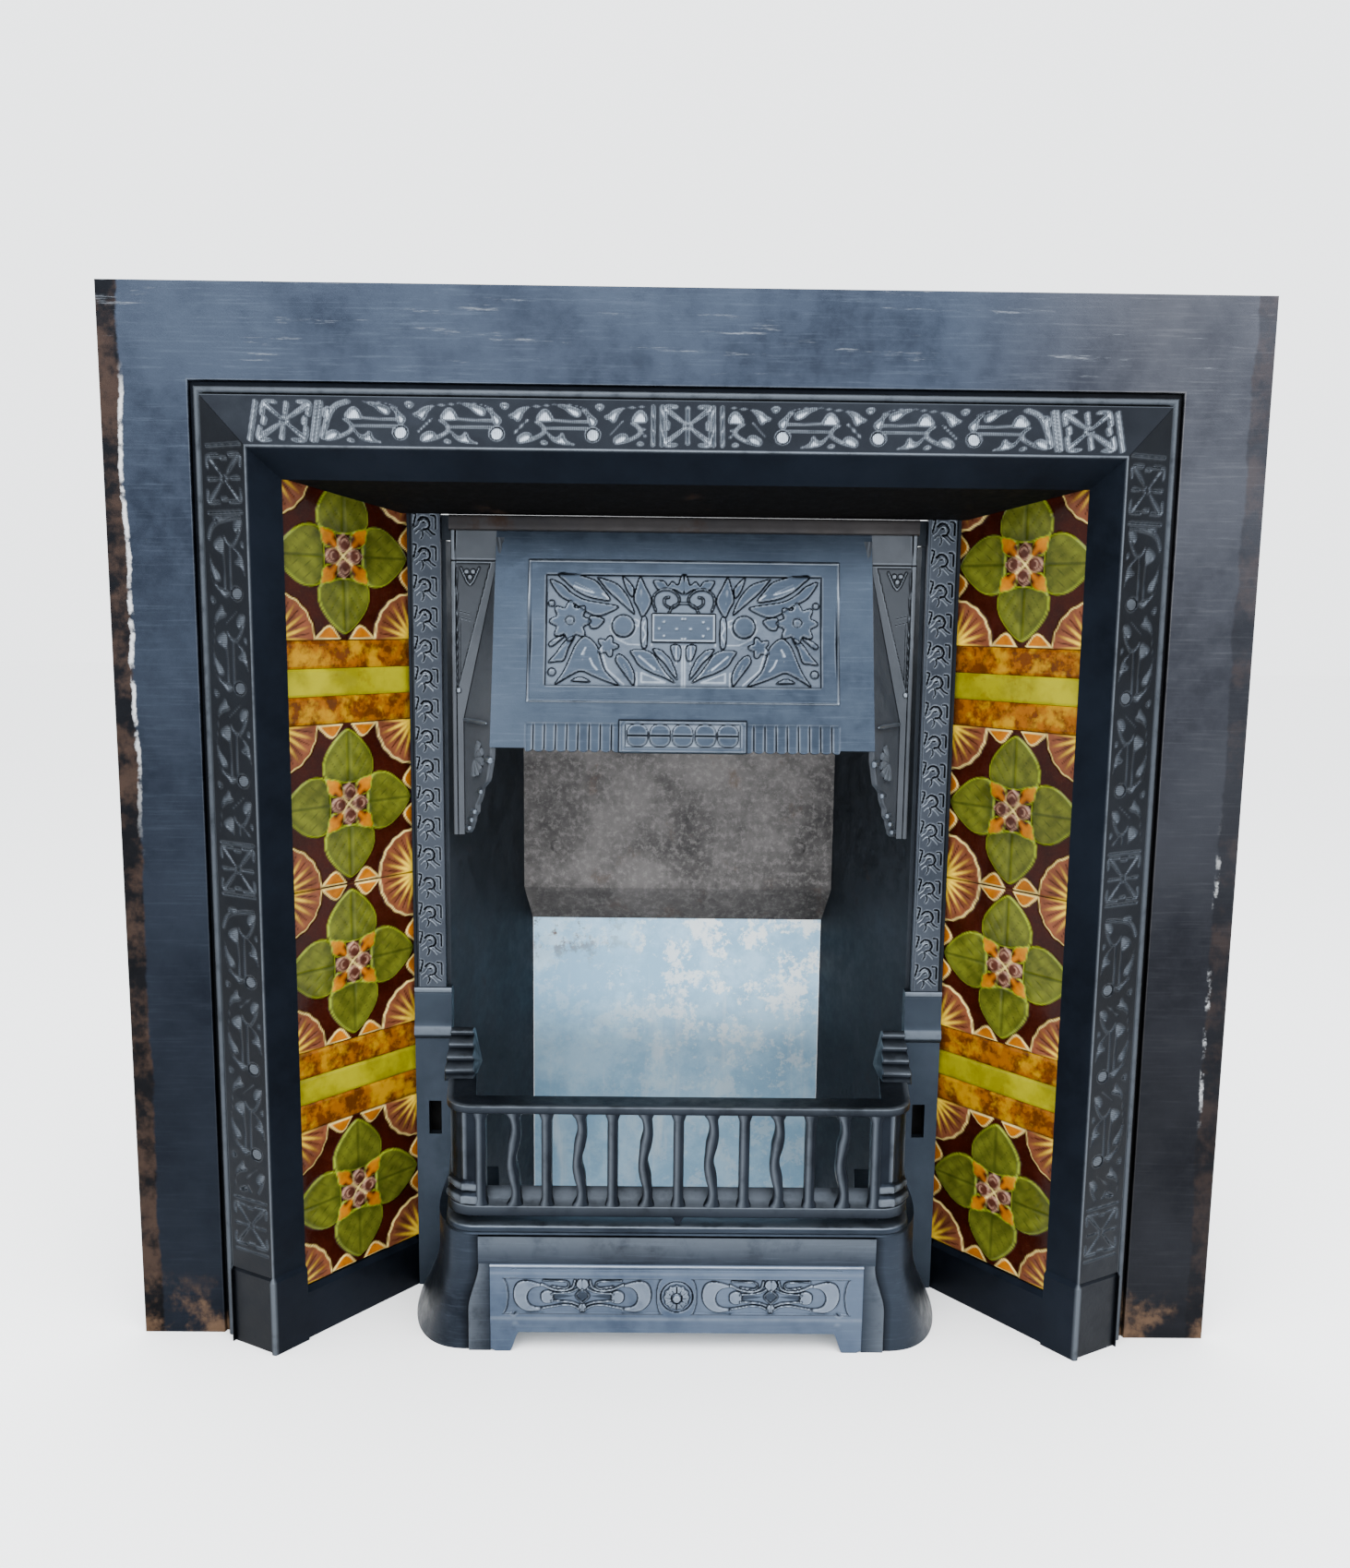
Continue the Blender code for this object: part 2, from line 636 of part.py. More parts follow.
def jamb(side, name, mat, parent):
    """Upright strip with a running scroll, a plain foot block and a slot."""
    front = plane((side * OPENING_HALF, JAMB_FRONT, 0), (side, 0, 0), (0, 0, 1))
    lift = -1 if front.n.y > 0 else 1
    inner = -JAMB_FOOT_INSET
    outline = [(inner, 0), (JAMB_WIDTH, 0), (JAMB_WIDTH, JAMB_TOP), (0, JAMB_TOP), (0, JAMB_FOOT_TOP),
               (inner, JAMB_FOOT_TOP)]
    mesh = bmesh.new()
    add_prism(mesh, outline, front, 0, -lift * JAMB_THICKNESS)
    slot = bmesh.new()
    far = JAMB_WIDTH - SLOT_FROM_EDGE - JAMB_LAP * 2
    opening = rectangle(far - SLOT_WIDTH, SLOT_BOTTOM, far, SLOT_BOTTOM + SLOT_HEIGHT)
    add_prism(slot, opening, front, lift * 0.01, -lift * (JAMB_THICKNESS + 0.01))
    mesh = combined(mesh, slot, "DIFFERENCE")

    shapes = [rectangle(0.0014, JAMB_FOOT_TOP + 0.003, 0.0032, JAMB_TOP - 0.003),
              rectangle(JAMB_WIDTH - 0.0032, JAMB_FOOT_TOP + 0.003, JAMB_WIDTH - 0.0014, JAMB_TOP - 0.003)]
    run = JAMB_TOP - JAMB_FOOT_TOP - 0.008
    count = round(run / JAMB_ORNAMENT_PITCH)
    pitch = run / count
    middle = JAMB_WIDTH / 2
    for k in range(count):
        base = JAMB_FOOT_TOP + 0.004 + pitch * k
        way = 1 if k % 2 == 0 else -1
        arc = [math.radians(-100 + 100 * j) for j in range(3)]
        curl = [(middle + way * 0.0078 * math.cos(a), base + pitch * 0.5 + pitch * 0.32 * math.sin(a))
                for a in arc]
        shapes.append(ribbon(curl, 0.0042))
        hook = [(middle + way * 0.0005, base + pitch * 0.52), (middle - way * 0.0100, base + pitch * 0.96),
                (middle - way * 0.0060, base + pitch * 0.46)]
        shapes.append(hook)
    relief = bmesh.new()
    for shape in shapes:
        add_prism(relief, shape, front, -lift * ROOT, lift * JAMB_RELIEF)
    sweep = plane((side * (OPENING_HALF + inner), 0, 0), (0, 1, 0), (0, 0, 1))
    roll = [(JAMB_FRONT + ROOT, JAMB_FOOT_TOP - 0.0020), (JAMB_FRONT - 0.0010, JAMB_FOOT_TOP - 0.0020),
            (JAMB_FRONT - 0.0022, JAMB_FOOT_TOP - 0.0300), (JAMB_FRONT - 0.0060, JAMB_FOOT_TOP - 0.0440),
            (JAMB_FRONT - 0.0060, JAMB_FOOT_TOP - 0.0490), (JAMB_FRONT - 0.0030, JAMB_FOOT_TOP - 0.0527),
            (JAMB_FRONT + ROOT, JAMB_FOOT_TOP - 0.0527)]
    width = (JAMB_WIDTH - inner - 0.0004) * side
    ends = [[(sweep.origin.x + shift, y, z) for y, z in roll] for shift in (0.0002 * side, width)]
    add_loft(relief, ends)
    mesh = combined(mesh, relief, "UNION", overlapping=True)
    return add_object(name, mesh, mat, parent)


# Canopy

def hood_plane():
    """Leaning front panel of the hood: u across, v up the panel from its bottom edge."""
    up = (0, HOOD_PROUD, HOOD_DROP)
    return plane((0, JAMB_FRONT - HOOD_PROUD, HOOD_BOTTOM), (1, 0, 0), up)


def hood_relief():
    """Mirrored plant ornament round a central box, as raised outlines."""
    shapes = []
    box_low, box_high = 0.1005, 0.1280
    shapes.append((rectangle(-0.0305, box_low, 0.0305, box_high), 0.9))
    shapes.append((leaf((0, box_high + 0.002), (0, 0.1600), 0.0140), 0.8))
    for k in range(3):
        shapes.append((disc(((k - 1) * 0.017, 0.114), 0.0022, 4), 1.5))
    for side in (-1, 1):
        shapes.append((leaf((side * 0.006, 0.131), (side * 0.026, 0.155), 0.0110), 0.8))
        shapes.append((leaf((side * 0.018, 0.131), (side * 0.047, 0.158), 0.0100), 0.8))
        shapes.append((star((side * 0.044, 0.118), 0.0110, 0.0075, 5), 1.2))
        shapes.append((star((side * 0.111, 0.134), 0.0150, 0.0075, 6), 1.2))
        shapes.append((disc((side * 0.120, 0.155), 0.0035, 5), 0.8))
        shapes.append((disc((side * 0.121, 0.066), 0.0035, 5), 0.8))
        for tail, tip, wide in (((0.058, 0.128), (0.092, 0.159), 0.013), ((0.060, 0.118), (0.093, 0.141), 0.012),
                                ((0.050, 0.104), (0.090, 0.100), 0.013), ((0.086, 0.114), (0.124, 0.094), 0.013),
                                ((0.066, 0.092), (0.107, 0.066), 0.016), ((0.044, 0.096), (0.058, 0.064), 0.015),
                                ((0.006, 0.070), (0.043, 0.064), 0.011), ((0.004, 0.084), (0.034, 0.090), 0.010)):
            shapes.append((leaf((side * tail[0], tail[1]), (side * tip[0], tip[1]), wide * 0.92), 1.0))
    shapes.append((rectangle(-0.0016, 0.0610, 0.0016, 0.0990), 1.0))
    return shapes


def canopy(mat, parent):
    """Rail, wings, hood and shell brackets in one casting."""
    face = hood_plane()
    inner = CANOPY_WALL
    front = JAMB_FRONT
    rail_back = front + inner * 1.25
    mesh = bmesh.new()
    add_box(mesh, (-CANOPY_HALF, front - RAIL_PROUD, HOOD_TOP - 0.001), (CANOPY_HALF, rail_back, CANOPY_TOP))

    fused = bmesh.new()
    rise = math.hypot(HOOD_PROUD, HOOD_DROP)
    panel = [(-HOOD_HALF_BOTTOM, 0), (HOOD_HALF_BOTTOM, 0), (HOOD_HALF_TOP, rise), (-HOOD_HALF_TOP, rise)]
    add_prism(fused, panel, face, -inner, 0)
    wing_low = HOOD_TOP - WING_BOTTOM_DROP
    foot = wing_low - BRACKET_DROP
    upright = plane((0, front, 0), (1, 0, 0), (0, 0, 1))
    for side in (-1, 1):
        edge = CANOPY_HALF - 0.0006
        wing = [(side * edge, foot), (side * edge, HOOD_TOP + 0.002),
                (side * (HOOD_HALF_TOP - inner), HOOD_TOP + 0.002), (side * (edge - 0.010), wing_low),
                (side * (edge - 0.010), foot)]
        add_prism(fused, wing, upright, 0, -inner)
        root_x = side * (CANOPY_HALF - 0.0045)
        tip_x = side * (HOOD_HALF_BOTTOM - 0.0010)
        reach = math.hypot(root_x - tip_x, HOOD_PROUD)
        blade = plane((root_x, front + 0.0035, 0), (tip_x - root_x, -HOOD_PROUD, 0), (0, 0, 1))
        sheet = [(0, foot + 0.002), (reach * 0.20, foot + 0.008), (reach * 0.30, foot + 0.020),
                 (reach * 0.42, foot + 0.024), (reach * 0.56, foot + 0.042), (reach * 0.86, foot + 0.060),
                 (reach * 0.90, foot + 0.076), (reach * 1.0, foot + 0.084), (reach * 1.0, HOOD_BOTTOM + 0.004),
                 (reach * 0.06, HOOD_TOP - 0.004), (0, HOOD_TOP - 0.004)]
        add_prism(fused, sheet, blade, -side * inner * 0.5, side * inner * 0.5)
        shell = [(reach * 0.36, foot + 0.078)]
        for k in range(9):
            angle = math.radians(-105 + 20 * k)
            radius = 0.0175 if k % 2 else 0.0135
            shell.append((shell[0][0] + radius * math.cos(angle), shell[0][1] + radius * math.sin(angle)))
        add_prism(fused, shell, blade, 0, -side * (inner * 0.5 + 0.0015))
        lug = rectangle(side * (CANOPY_HALF - 0.020), CANOPY_TOP - LUG_HEIGHT, side * (OPENING_HALF + 0.010),
                        CANOPY_TOP - 0.0015)
        add_prism(fused, lug, upright, -(JAMB_THICKNESS + GAP), -(JAMB_THICKNESS + GAP + inner))
        shank = rectangle(side * (CANOPY_HALF - 0.018), CANOPY_TOP - LUG_HEIGHT + 0.002,
                          side * (CANOPY_HALF - 0.004), CANOPY_TOP - 0.0030)
        add_prism(fused, shank, upright, -inner * 0.5, -(JAMB_THICKNESS + inner * 0.5))
        tri_top = HOOD_TOP - 0.030
        motif = [(side * (CANOPY_HALF - 0.005), tri_top), (side * (CANOPY_HALF - 0.029), tri_top),
                 (side * (CANOPY_HALF - 0.005), tri_top - 0.110)]
        add_prism(fused, motif, upright, -ROOT, 0.0012)
    mesh = combined(mesh, fused, "UNION", overlapping=True)

    cuts = bmesh.new()
    half, low, high = PANEL
    add_prism(cuts, rectangle(-half, low, half, high), face, -PANEL_SINK, 0.01)
    mesh = combined(mesh, cuts, "DIFFERENCE")

    relief = bmesh.new()
    for shape, level in hood_relief():
        add_prism(relief, shape, face, -PANEL_SINK - ROOT, -PANEL_SINK + HOOD_RELIEF * level)
    half, low, high = LINE
    add_frame(relief, face, (-half, low, half, high), LINE_WIDTH, -ROOT, 0.0014)
    first, last = FRINGE_SPAN
    add_prism(relief, rectangle(-first, -0.0055, first, 0.0250), face, -CANOPY_WALL * 0.6, 0.0030)
    for k in range(5):
        add_prism(relief, disc((0.0212 * (k - 2), 0.0098), 0.0082, 6), face, 0, 0.0045)
    count = int((last - first) / FRINGE_PITCH)
    for side in (-1, 1):
        for k in range(count):
            centre = side * (first + FRINGE_PITCH * (k + 0.5))
            reach = FRINGE_PITCH * 0.44
            tongue = [(centre - reach, FRINGE_HEIGHT), (centre - reach, 0.0045), (centre, 0.0005),
                      (centre + reach, 0.0045), (centre + reach, FRINGE_HEIGHT)]
            add_prism(relief, tongue, face, -ROOT, 0.0020)
    mesh = combined(mesh, relief, "UNION", overlapping=True)
    return add_object("canopy", mesh, mat, parent)


# Firebox

def wall_half(y):
    """Half-width between the firebox walls at a depth."""
    return WALL_HALF - (WALL_HALF - BACK_HALF) * (y - WALL_FRONT) / FIREBOX_DEPTH


def firebox_wall(side, name, mat, parent):
    """Splayed plain wall between the plate and the back."""
    mesh = bmesh.new()
    flat = plane((0, 0, 0), (1, 0, 0), (0, 1, 0))
    top = CANOPY_TOP - LUG_HEIGHT - 0.004
    run = SHEET_BACK - WALL_FRONT
    lean = math.hypot(run, wall_half(WALL_FRONT) - wall_half(SHEET_BACK)) / run
    outer = WALL_THICKNESS * lean
    outline = [(side * wall_half(WALL_FRONT), WALL_FRONT), (side * (wall_half(WALL_FRONT) + outer), WALL_FRONT),
               (side * (wall_half(SHEET_BACK) + outer), SHEET_BACK), (side * wall_half(SHEET_BACK), SHEET_BACK)]
    add_prism(mesh, outline, flat, 0, top)
    return add_object(name, mesh, mat, parent)


def fireback(mat, parent):
    """Rough upper block of the back, bevelled under its lower edge."""
    mesh = bmesh.new()
    sections = []
    for y, z in ((FIREBACK_FRONT, FIREBACK_RIDGE), (FIREBACK_FRONT, FIREBACK_TOP),
                 (FIREBACK_BACK, FIREBACK_TOP), (FIREBACK_BACK, FIREBACK_FOOT)):
        x = wall_half(y) - GAP
        sections.append([(-x, y, z), (x, y, z)])
    left = [mesh.verts.new(ends[0]) for ends in sections]
    right = [mesh.verts.new(ends[1]) for ends in sections]
    mesh.faces.new(left)
    mesh.faces.new(right)
    for i in range(4):
        j = (i + 1) % 4
        mesh.faces.new((left[i], left[j], right[j], right[i]))
    bmesh.ops.recalc_face_normals(mesh, faces=mesh.faces)
    holes = bmesh.new()
    face = plane((0, FIREBACK_FRONT, 0), (1, 0, 0), (0, 0, 1))
    for side in (-1, 1):
        hole = disc((side * BOLT_SPREAD, BOLT_HEIGHT), BOLT_SHANK + BOLT_CLEARANCE, 8)
        add_prism(holes, hole, face, 0.01, -FIREBACK_THICKNESS - 0.01)
    mesh = combined(mesh, holes, "DIFFERENCE")
    return add_object("fireback", mesh, mat, parent)


def back_sheet(mat, parent):
    """Loose sheet that stands on the floor and tucks up behind the fireback."""
    mesh = bmesh.new()
    half = wall_half(SHEET_BACK) - GAP
    add_box(mesh, (-half, SHEET_FRONT, 0), (half, SHEET_BACK, FIREBACK_FOOT + SHEET_LAP))
    return add_object("back_sheet", mesh, mat, parent)


def bolt(side, name, mat, parent):
    """Round-headed bolt through the fireback."""
    mesh = bmesh.new()
    face = plane((0, FIREBACK_FRONT, 0), (1, 0, 0), (0, 0, 1))
    centre = (side * BOLT_SPREAD, BOLT_HEIGHT)
    levels = ((BOLT_SHANK, -FIREBACK_THICKNESS), (BOLT_SHANK, GAP), (BOLT_HEAD, GAP), (BOLT_HEAD, 0.0020),
              (BOLT_HEAD * 0.6, 0.0045))
    sections = [[on(face, u, v, height) for u, v in disc(centre, radius, 8)] for radius, height in levels]
    add_loft(mesh, sections)
    return add_object(name, mesh, mat, parent, smooth=True)


# Grate and base

def plan_path(inset, arc_steps=4):
    """Half of the grate's plan, from the middle of the front to the jamb, moved in by inset."""
    centre = (FRONT_HALF, -LEDGE_PROUD + CORNER_RADIUS)
    radius = CORNER_RADIUS - inset
    points = []
    for k in range(arc_steps + 1):
        angle = -math.pi / 2 + (math.pi / 2 - SIDE_FLARE) * k / arc_steps
        points.append((centre[0] + radius * math.cos(angle), centre[1] + radius * math.sin(angle)))
    x, y = points[-1]
    points.append((x + (GRATE_BACK - y) * math.tan(SIDE_FLARE), GRATE_BACK))
    return points


def plan_ring(outer, inner):
    """Closed plan of a rail or ledge that runs round the grate between two insets."""
    outside = plan_path(outer)
    if inner < CORNER_RADIUS * 0.95:
        inside = plan_path(inner)
    else:
        corner = (FRONT_HALF + CORNER_RADIUS - inner, -LEDGE_PROUD + inner)
        inside = [corner, (plan_path(0)[-1][0] - inner, GRATE_BACK)]
    out = [(-x, y) for x, y in reversed(outside)] + outside
    return out + inside[::-1] + [(-x, y) for x, y in inside]


def wavy_bar(centre, low, high):
    """Outline of an upright that sways to one side and back."""
    steps = 4
    sway = 0.0040
    spine = []
    for k in range(steps + 1):
        t = k / steps
        spine.append((centre + sway * math.sin(2 * math.pi * t), low + (high - low) * t))
    half = BAR_WIDTH * 0.42
    return [(x - half, z) for x, z in spine] + [(x + half, z) for x, z in reversed(spine)]


def grate_front(mat, parent):
    """Barred front with its rails, canted sides and stepped horns."""
    flat = plane((0, 0, 0), (1, 0, 0), (0, 1, 0))
    rail_low = GRATE_BASE + GRATE_FOOT
    mesh = bmesh.new()
    add_prism(mesh, plan_ring(GRATE_SETBACK, GRATE_SETBACK + TOP_RAIL_WIDTH), flat,
              GRATE_TOP - TOP_RAIL_HEIGHT, GRATE_TOP)
    fused = bmesh.new()
    add_prism(fused, plan_ring(GRATE_SETBACK + 0.0004, GRATE_SETBACK + LOWER_RAIL_WIDTH), flat,
              rail_low, rail_low + LOWER_RAIL_HEIGHT)
    face = plane((0, -LEDGE_PROUD + GRATE_SETBACK + 0.0012, 0), (1, 0, 0), (0, 0, 1))
    spread = FRONT_HALF - BAR_WIDTH / 2
    low = rail_low + LOWER_RAIL_HEIGHT - ROOT
    high = GRATE_TOP - TOP_RAIL_HEIGHT + ROOT
    for k in range(BAR_COUNT):
        centre = -spread + 2 * spread * k / (BAR_COUNT - 1)
        straight = k % 2 == 0
        half = BAR_WIDTH / 2
        outline = rectangle(centre - half, low, centre + half, high) if straight else wavy_bar(centre, low, high)
        add_prism(fused, outline, face, 0, -BAR_DEPTH)
    add_prism(fused, rectangle(-0.006, GRATE_BASE, 0.006, rail_low + ROOT), face, -0.001, -BAR_DEPTH)
    for side in (-1, 1):
        outer = plan_path(GRATE_SETBACK + 0.003)[1:]
        inner = plan_path(GRATE_SETBACK + 0.003 + BASE_WALL)[1:]
        wall = [(side * x, y) for x, y in outer + inner[::-1]]
        add_prism(fused, wall, flat, rail_low + ROOT, GRATE_TOP - ROOT)
        outer = plan_path(GRATE_SETBACK + 0.0015)[2:]
        inner = plan_path(GRATE_SETBACK + 0.006)[2:]
        moulding = [(side * x, y) for x, y in outer + inner[::-1]]
        add_prism(fused, moulding, flat, rail_low + LOWER_RAIL_HEIGHT * 0.5, rail_low + LOWER_RAIL_HEIGHT + 0.007)
        x_back = plan_path(GRATE_SETBACK)[-1][0]
        foot_low = (side * (x_back - 0.014), GRATE_BACK - 0.040, GRATE_BASE)
        foot_high = (side * (x_back - 0.008), GRATE_BACK - 0.002, rail_low + ROOT)
        corners = sorted((foot_low[0], foot_high[0]))
        add_box(fused, (corners[0], foot_low[1], foot_low[2]), (corners[1], foot_high[1], foot_high[2]))
        horn = [(GRATE_BACK - 0.0002, GRATE_TOP - ROOT), (GRATE_BACK - 0.0002, GRATE_TOP + HORN_HEIGHT)]
        step = HORN_HEIGHT / HORN_ROLLS
        for k in range(HORN_ROLLS):
            top = GRATE_TOP + HORN_HEIGHT - step * k
            y = GRATE_BACK - 0.0080 - 0.0085 * k
            horn += [(y, top), (y - 0.0030, top - step * 0.5), (y, top - step * 0.92)]
        horn += [(GRATE_BACK - 0.0335, GRATE_TOP - ROOT)]
        outer_x = side * (OPENING_HALF - JAMB_FOOT_INSET - GAP)
        inner_x = outer_x - side * (TOP_RAIL_WIDTH - 0.004)
        add_loft(fused, [[(x, y, z) for y, z in horn] for x in (inner_x, outer_x)])
    mesh = combined(mesh, fused, "UNION", overlapping=True)
    return add_object("grate_front", mesh, mat, parent)


def bell(z):
    """Share of the base's flare at a height."""
    if z >= BASE_BELL:
        return 0.0
    return (1 - z / BASE_BELL) ** 1.6


def base_section(z, side):
    """Plan of one base cheek with its pilaster at a height."""
    flare = bell(z)
    front = -LEDGE_PROUD + PILASTER_BACKSET
    inner_x = COVER_HALF + GAP
    edge = (inner_x + PILASTER_WIDTH + BASE_FLARE * 0.5 * flare, front)
    end = (plan_path(0)[-1][0] + 0.001 + BASE_FLARE * flare, GRATE_BACK)
    knee = (FRONT_HALF + CORNER_RADIUS - 0.006 + BASE_FLARE * 0.9 * flare, front + 0.020 + 0.010 * flare)
    outer = []
    for k in range(7):
        t = k / 6
        x = (1 - t) ** 2 * edge[0] + 2 * t * (1 - t) * knee[0] + t * t * end[0]
        y = (1 - t) ** 2 * edge[1] + 2 * t * (1 - t) * knee[1] + t * t * end[1]
        outer.append((x, y))
    inner = [(x - BASE_WALL * 0.9, y + BASE_WALL * 0.7) for x, y in outer[1:-1]]
    inner = [(inner_x, front + BASE_WALL)] + inner + [(outer[-1][0] - BASE_WALL * 1.1, GRATE_BACK)]
    ring = [(inner_x, front)] + outer + inner[::-1]
    return [(side * x, y, z) for x, y in ring]


def grate_base(mat, parent):
    """Rounded ledge, fascia, angled pilasters and bell-shaped cheeks in one casting."""
    flat = plane((0, 0, 0), (1, 0, 0), (0, 1, 0))
    under = LEDGE_TOP - LEDGE_THICKNESS
    mesh = bmesh.new()
    add_prism(mesh, plan_ring(0, LEDGE_WIDTH), flat, under, LEDGE_TOP)
    fused = bmesh.new()
    heights = (0, 0.008, 0.020, 0.036, 0.056, BASE_BELL, under + ROOT)
    for side in (-1, 1):
        add_loft(fused, [base_section(z, side) for z in heights])
    front = -LEDGE_PROUD + PILASTER_BACKSET - 0.002
    reach = COVER_HALF + PILASTER_WIDTH
    add_box(fused, (-reach, front, COVER_HEIGHT + GAP), (reach, front + BASE_WALL, under + ROOT))
    add_box(fused, (-reach, front - 0.0014, COVER_HEIGHT + GAP), (reach, front + ROOT, under - 0.0100))
    mesh = combined(mesh, fused, "UNION", overlapping=True)
    return add_object("grate_base", mesh, mat, parent)


def whiplash(centre, reach, side):
    """Looped ribbon ornament of a cover cartouche."""
    shapes = []
    for way in (-1, 1):
        line = []
        for k in range(6):
            t = k / 5
            u = centre[0] + side * (-reach + 2 * reach * t)
            v = centre[1] + way * 0.0095 * math.sin(math.pi * (0.10 + 1.45 * t))
            line.append((u, v))
        shapes.append(ribbon(line, 0.0042))
    shapes.append(disc((centre[0] - side * reach * 0.72, centre[1]), 0.0068, 6))
    shapes.append(leaf((centre[0] + side * reach * 0.1, centre[1]), (centre[0] + side * reach, centre[1]), 0.009))
    return shapes


def ashpan_cover(mat, parent):
    """Loose plate that hides the ash, on two short feet."""
    front = -LEDGE_PROUD + PILASTER_BACKSET - 0.002
    face = plane((0, front, 0), (1, 0, 0), (0, 0, 1))
    half = COVER_HALF
    foot = half - COVER_FOOT_WIDTH
    top = COVER_HEIGHT
    outline = [(-half, 0), (-foot, 0), (-foot + 0.004, COVER_CLEAR), (foot - 0.004, COVER_CLEAR), (foot, 0),
               (half, 0), (half, top), (-half, top)]
    mesh = bmesh.new()
    add_prism(mesh, outline, face, -COVER_THICKNESS, 0)
    middle = 0.0555
    shapes = []
    for side in (-1, 1):
        shapes += whiplash((side * 0.0905, middle), 0.064, side)
        low, high = middle - 0.0190, middle + 0.0190
        near, far = side * 0.0205, side * 0.1625
        lines = (rectangle(near, high, far, high + 0.0018), rectangle(near, low - 0.0018, far, low),
                 rectangle(far, low - 0.0018, far + side * 0.0018, high + 0.0018))
        shapes += lines
    shapes.append(disc((0, middle), 0.0165, 10))
    shapes.append(rectangle(-half + 0.002, top - 0.0060, half - 0.002, top - 0.0020))
    relief = bmesh.new()
    for shape in shapes:
        add_prism(relief, shape, face, -ROOT, COVER_RELIEF)
    add_prism(relief, star((0, middle), 0.0135, 0.0095, 8), face, 0, COVER_RELIEF + 0.0015)
    mesh = combined(mesh, relief, "UNION", overlapping=True)
    return add_object("ashpan_cover", mesh, mat, parent)


def main():
    """Build the whole insert."""
    clear_scene()
    insert = bpy.data.objects.new("insert", None)
    bpy.context.scene.collection.objects.link(insert)
    insert.location = (0, PLATE_Y, 0)
    iron = material("blackened_iron", (0.035, 0.042, 0.055), 0.45, 0.6)
    block = material("grey_fireback", (0.20, 0.19, 0.19), 0.9, 0.0)
    sheet = material("galvanised_sheet", (0.55, 0.60, 0.66), 0.45, 0.8)
    glazes = {
        "flower": material("green_flower_glaze", (0.22, 0.20, 0.03), 0.15, 0.0),
        "amber": material("amber_glaze", (0.55, 0.25, 0.02), 0.15, 0.0),
        "olive": material("olive_glaze", (0.45, 0.38, 0.03), 0.15, 0.0),
    }
    front_plate(iron, insert)
    soffit_plate(iron, insert)
    for side, word in ((-1, "left"), (1, "right")):
        cheek_frame(side, f"{word}_cheek_frame", iron, insert)
        tile_column(side, word, glazes, insert)
        jamb(side, f"{word}_jamb", iron, insert)
        firebox_wall(side, f"{word}_firebox_wall", iron, insert)
        bolt(side, f"{word}_fireback_bolt", iron, insert)
    canopy(iron, insert)
    fireback(block, insert)
    back_sheet(sheet, insert)
    grate_front(iron, insert)
    grate_base(iron, insert)
    ashpan_cover(iron, insert)


main()
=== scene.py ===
"""Looks of the tiled cast iron fireplace insert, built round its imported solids."""

import math
from collections import namedtuple

import bmesh
import bpy
import numpy as np
from mathutils import Matrix, Vector


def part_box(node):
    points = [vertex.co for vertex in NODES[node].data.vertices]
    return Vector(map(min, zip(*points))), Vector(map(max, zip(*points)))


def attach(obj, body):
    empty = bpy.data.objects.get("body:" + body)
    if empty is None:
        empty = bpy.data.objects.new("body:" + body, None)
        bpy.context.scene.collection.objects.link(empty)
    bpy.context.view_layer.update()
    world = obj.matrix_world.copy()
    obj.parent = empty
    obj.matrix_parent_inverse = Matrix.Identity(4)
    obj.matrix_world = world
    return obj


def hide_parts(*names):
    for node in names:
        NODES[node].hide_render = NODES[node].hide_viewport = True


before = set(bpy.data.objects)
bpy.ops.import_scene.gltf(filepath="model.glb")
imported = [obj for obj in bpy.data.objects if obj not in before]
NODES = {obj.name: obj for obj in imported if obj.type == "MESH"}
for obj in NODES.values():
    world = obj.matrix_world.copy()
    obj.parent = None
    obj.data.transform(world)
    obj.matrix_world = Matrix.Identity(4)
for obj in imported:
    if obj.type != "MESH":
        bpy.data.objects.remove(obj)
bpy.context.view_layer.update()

# Sizes shared with the solids, in metres; Y counts from the plate's front face
GAP = 0.0003
COS = math.cos(math.radians(48.9))
SIN = math.sin(math.radians(48.9))
FRONT_REACH = 0.0386
PLATE_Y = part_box("front_plate")[0].y + FRONT_REACH
PLATE_HALF = 0.50803
PLATE_HEIGHT = 0.965
PLATE_THICKNESS = 0.008
MOULDING_HALF = 0.43233
MOULDING_TOP = 0.883
BAND_WIDTH = 0.0597
BAND_PROUD = 0.0356
FOOT_IN = 0.014
FOOT_PROUD = 0.012
ARRIS_HALF = MOULDING_HALF - BAND_WIDTH
ARRIS_TOP = MOULDING_TOP - BAND_WIDTH
LIP_WIDTH = 0.034
LIP_THICKNESS = 0.0047
RETURN_DROP = 0.0248
PLINTH_HEIGHT = 0.075
PLINTH_PROUD = 0.003
PLINTH_CHAMFER = 0.004
TILE_DEPTH = 0.005
TILE_START = 0.0226
LARGE_TILE = 0.1524
TILE_BODY = 0.0088
OPENING_HALF = 0.2316
JAMB_WIDTH = 0.0315
JAMB_FRONT = 0.0881
JAMB_THICKNESS = 0.009
JAMB_FOOT_TOP = 0.3167
JAMB_FOOT_INSET = 0.0056
JAMB_TOP = 0.7785
JAMB_PITCH = 0.029
CANOPY_TOP = 0.7782
CANOPY_HALF = 0.2226
CANOPY_WALL = 0.006
HOOD_TOP = 0.7642
HOOD_BOTTOM = 0.5632
HOOD_PROUD = 0.046
HOOD_DROP = 0.201
HOOD_HALF_TOP = 0.178
HOOD_HALF_BOTTOM = 0.18
WING_LOW = 0.5842
BRACKET_FOOT = 0.4712
LEDGE_TOP = 0.129
LEDGE_THICKNESS = 0.008
LEDGE_PROUD = 0.037
FRONT_HALF = 0.187
CORNER_RADIUS = 0.03
SIDE_FLARE = math.radians(7.8)
GRATE_BACK = 0.0878
GRATE_BASE = 0.1293
